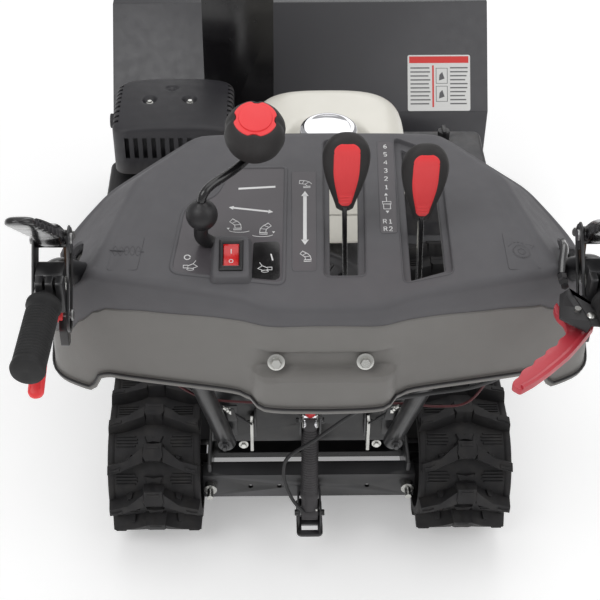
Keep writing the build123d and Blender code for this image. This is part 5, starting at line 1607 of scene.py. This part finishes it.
def bucket_plate():
    """Plain notice on the back of the bucket: coloured header, lines and two drawings, without words."""
    up_slope, normal = Vector((0, 0.645, 0.764)), Vector((0, -0.764, 0.645))
    corner = at(203, 240, 385)

    def flat(points, lift):
        """Places on the sloping sheet, from the plate's own width and height coordinates."""
        return [corner + Vector(((x - 200) * 1.06 / 1000, 0, 0)) + up_slope * (((z - 388) * 0.9 + 1.5) / 1000)
                + normal * (lift / 1000) for x, z in points]

    def area(bm, points, low, high):
        ring_strip(bm, [flat(points, low), flat(points, high)])
    plate = bmesh.new()
    area(plate, rounded([(200, 388), (312, 388), (312, 506), (200, 506)], 4), 0.1, 0.7)
    make("notice_plate", plate, "label", "chassis", 40)
    header = bmesh.new()
    area(header, [(203, 489), (309, 489), (309, 503), (203, 503)], 0.6, 0.9)
    area(header, [(244, 396), (247, 396), (247, 484), (244, 484)], 0.6, 0.9)
    make("notice_header", header, "ink_red", "chassis", 40)
    lines = bmesh.new()
    for x0, x1 in ((205, 241), (276, 308)):
        for row in range(10):
            z = 480 - row * 8.4
            short = 6 * random.random()
            area(lines, [(x0, z - 2.6), (x1 - short, z - 2.6), (x1 - short, z), (x0, z)], 0.6, 0.85)
    for z in (462, 424):
        frame_line = [(251, z - 16), (271, z - 16), (271, z + 16), (251, z + 16)]
        for a, b in zip(frame_line, frame_line[1:] + frame_line[:1]):
            low_x, high_x = sorted((a[0], b[0]))
            low_z, high_z = sorted((a[1], b[1]))
            area(lines, [(low_x - 0.5, low_z - 0.5), (high_x + 0.5, low_z - 0.5),
                         (high_x + 0.5, high_z + 0.5),
                         (low_x - 0.5, high_z + 0.5)], 0.6, 0.85)
        area(lines, [(256, z - 10), (266, z - 6), (262, z + 8), (257, z + 2)], 0.6, 0.85)
    make("notice_lines", lines, "ink_grey", "chassis", 40)


POLISH = {
    "chute": ("gloss_black", 1.2), "deflector": ("gloss_black", 1.2), "auger_housing": ("bucket", 1.6),
    "impeller_housing": ("paint", 1.2), "belt_cover": ("black", 2.5), "snow_hood": ("pan", 1.6),
    "starter_box": ("black", 2.0), "muffler": ("muffler", 2.5), "main_frame": ("paint", 0.9),
    "bottom_cover": ("pan", 0.9), "track_frame": ("paint", 0.9), "skid_shoes": ("black", 1.2),
    "scraper_bar": ("paint", 0.8), "handlebars": ("paint", 0), "tension_bolts": ("zinc", 0.4),
    "left_linkage_arm": ("zinc", 0.5), "right_linkage_arm": ("zinc", 0.5),
    "headlight": ("black", 1.5), "choke_knob": ("black", 0.8), "recoil_grip": ("black", 1.2),
    "engine_block": ("alloy", 0.8), "blower_housing": ("black", 0.8), "auger_gearbox": ("iron", 0.8),
    "final_drive": ("zinc", 0.5), "left_idler": ("black", 0.8), "right_idler": ("black", 0.8),
    "left_drive_wheel": ("black", 0.8), "right_drive_wheel": ("black", 0.8), "friction_disc": ("disc", 0.5),
    "friction_wheel": ("rubber", 0.6), "hex_shaft": ("steel", 0.4), "crankshaft": ("steel", 0.4),
    "impeller": ("paint", 0.6), "augers": ("paint", 0.5), "auger_shaft": ("steel", 0.5),
    "drive_belts": ("rubber", 0.4), "strut_cylinder": ("boot", 0.5), "strut_rod": ("chrome", 0.4),
    "chute_worm": ("steel", 0),
}


# ---------------------------------------------------------------- camera, light and floor
def stage():
    """Pale floor, plain studio light and the camera at the photograph's viewing angle."""
    bm = bmesh.new()
    size = 8
    corners = ((-size, -size), (size, -size), (size, size), (-size, size))
    bm.faces.new([bm.verts.new((x, y, 0)) for x, y in corners])
    mesh = bpy.data.meshes.new("floor")
    bm.to_mesh(mesh)
    bm.free()
    floor = bpy.data.objects.new("floor", mesh)
    bpy.context.scene.collection.objects.link(floor)
    floor.location.z = -0.0005
    paper = material("floor_paper", (0.93, 0.93, 0.93, 1), 0.9, grain=60, bump=0.02, mottle=0.005)
    glow = paper.node_tree.nodes["Principled BSDF"].inputs
    glow["Emission Color"].default_value = (1, 1, 1, 1)
    glow["Emission Strength"].default_value = 0.30
    mesh.materials.append(paper)
    bpy.context.scene.view_settings.view_transform = "Standard"
    world = bpy.data.worlds.new("studio")
    world.use_nodes = True
    world.node_tree.nodes["Background"].inputs["Color"].default_value = (1, 1, 1, 1)
    world.node_tree.nodes["Background"].inputs["Strength"].default_value = 0.46
    bpy.context.scene.world = world
    for name, place, power, width in (("key", (-1.6, -1.8, 3.2), 30, 1.8),
                                      ("fill", (2.2, -1.2, 2.6), 20, 2.2),
                                      ("top", (0, 0.6, 3.6), 20, 2.6), ("back", (0.5, 3.0, 2.4), 18, 2.0)):
        data = bpy.data.lights.new(name, "AREA")
        data.energy = power
        data.size = width
        lamp = bpy.data.objects.new(name, data)
        bpy.context.scene.collection.objects.link(lamp)
        lamp.location = place
        aim = Vector((0, 0, 0.4)) - Vector(place)
        lamp.rotation_mode = "QUATERNION"
        lamp.rotation_quaternion = aim.to_track_quat("-Z", "Y")
    data = bpy.data.cameras.new("camera")
    camera = bpy.data.objects.new("camera", data)
    bpy.context.scene.collection.objects.link(camera)
    bpy.context.scene.camera = camera
    data.lens = 78.24
    data.sensor_width = 36
    data.shift_x = 0.0325
    data.clip_start = 0.05
    data.clip_end = 50
    camera.location = at(-62, -1882, 1702)
    camera.rotation_euler = (math.radians(50), 0, math.radians(-0.63))


for node, (finish, width) in POLISH.items():
    polish(node, finish, width)

console_deck_piece()
skirt_piece()
skirt_seal()
for index, opening in enumerate(SLOTS):
    slot_tray("slot_tray_%d" % (index + 1), opening)
deck_printing()
icon_pads()
switch_cup()
switch_rocker()
lever_knob("deflector_control", "deflector_lever", 30, 930, 5)
lever_knob("speed_control", "speed_lever", 118, 915, 5)
crank_parts()
grips()
brackets()
clutch_cover(-1, "auger_clutch_lever", "auger_clutch")
clutch_cover(1, "drive_clutch_lever", "drive_clutch")
trigger_blade(-1, "left_steering_trigger", "left_trigger")
trigger_blade(1, "right_steering_trigger", "right_trigger")
tilt_release()
track(-1, "left_track_belt")
track(1, "right_track_belt")
guard_shell()
tank_shell()
console_bolts()
strut_parts()
cables()
bucket_plate()
stage()
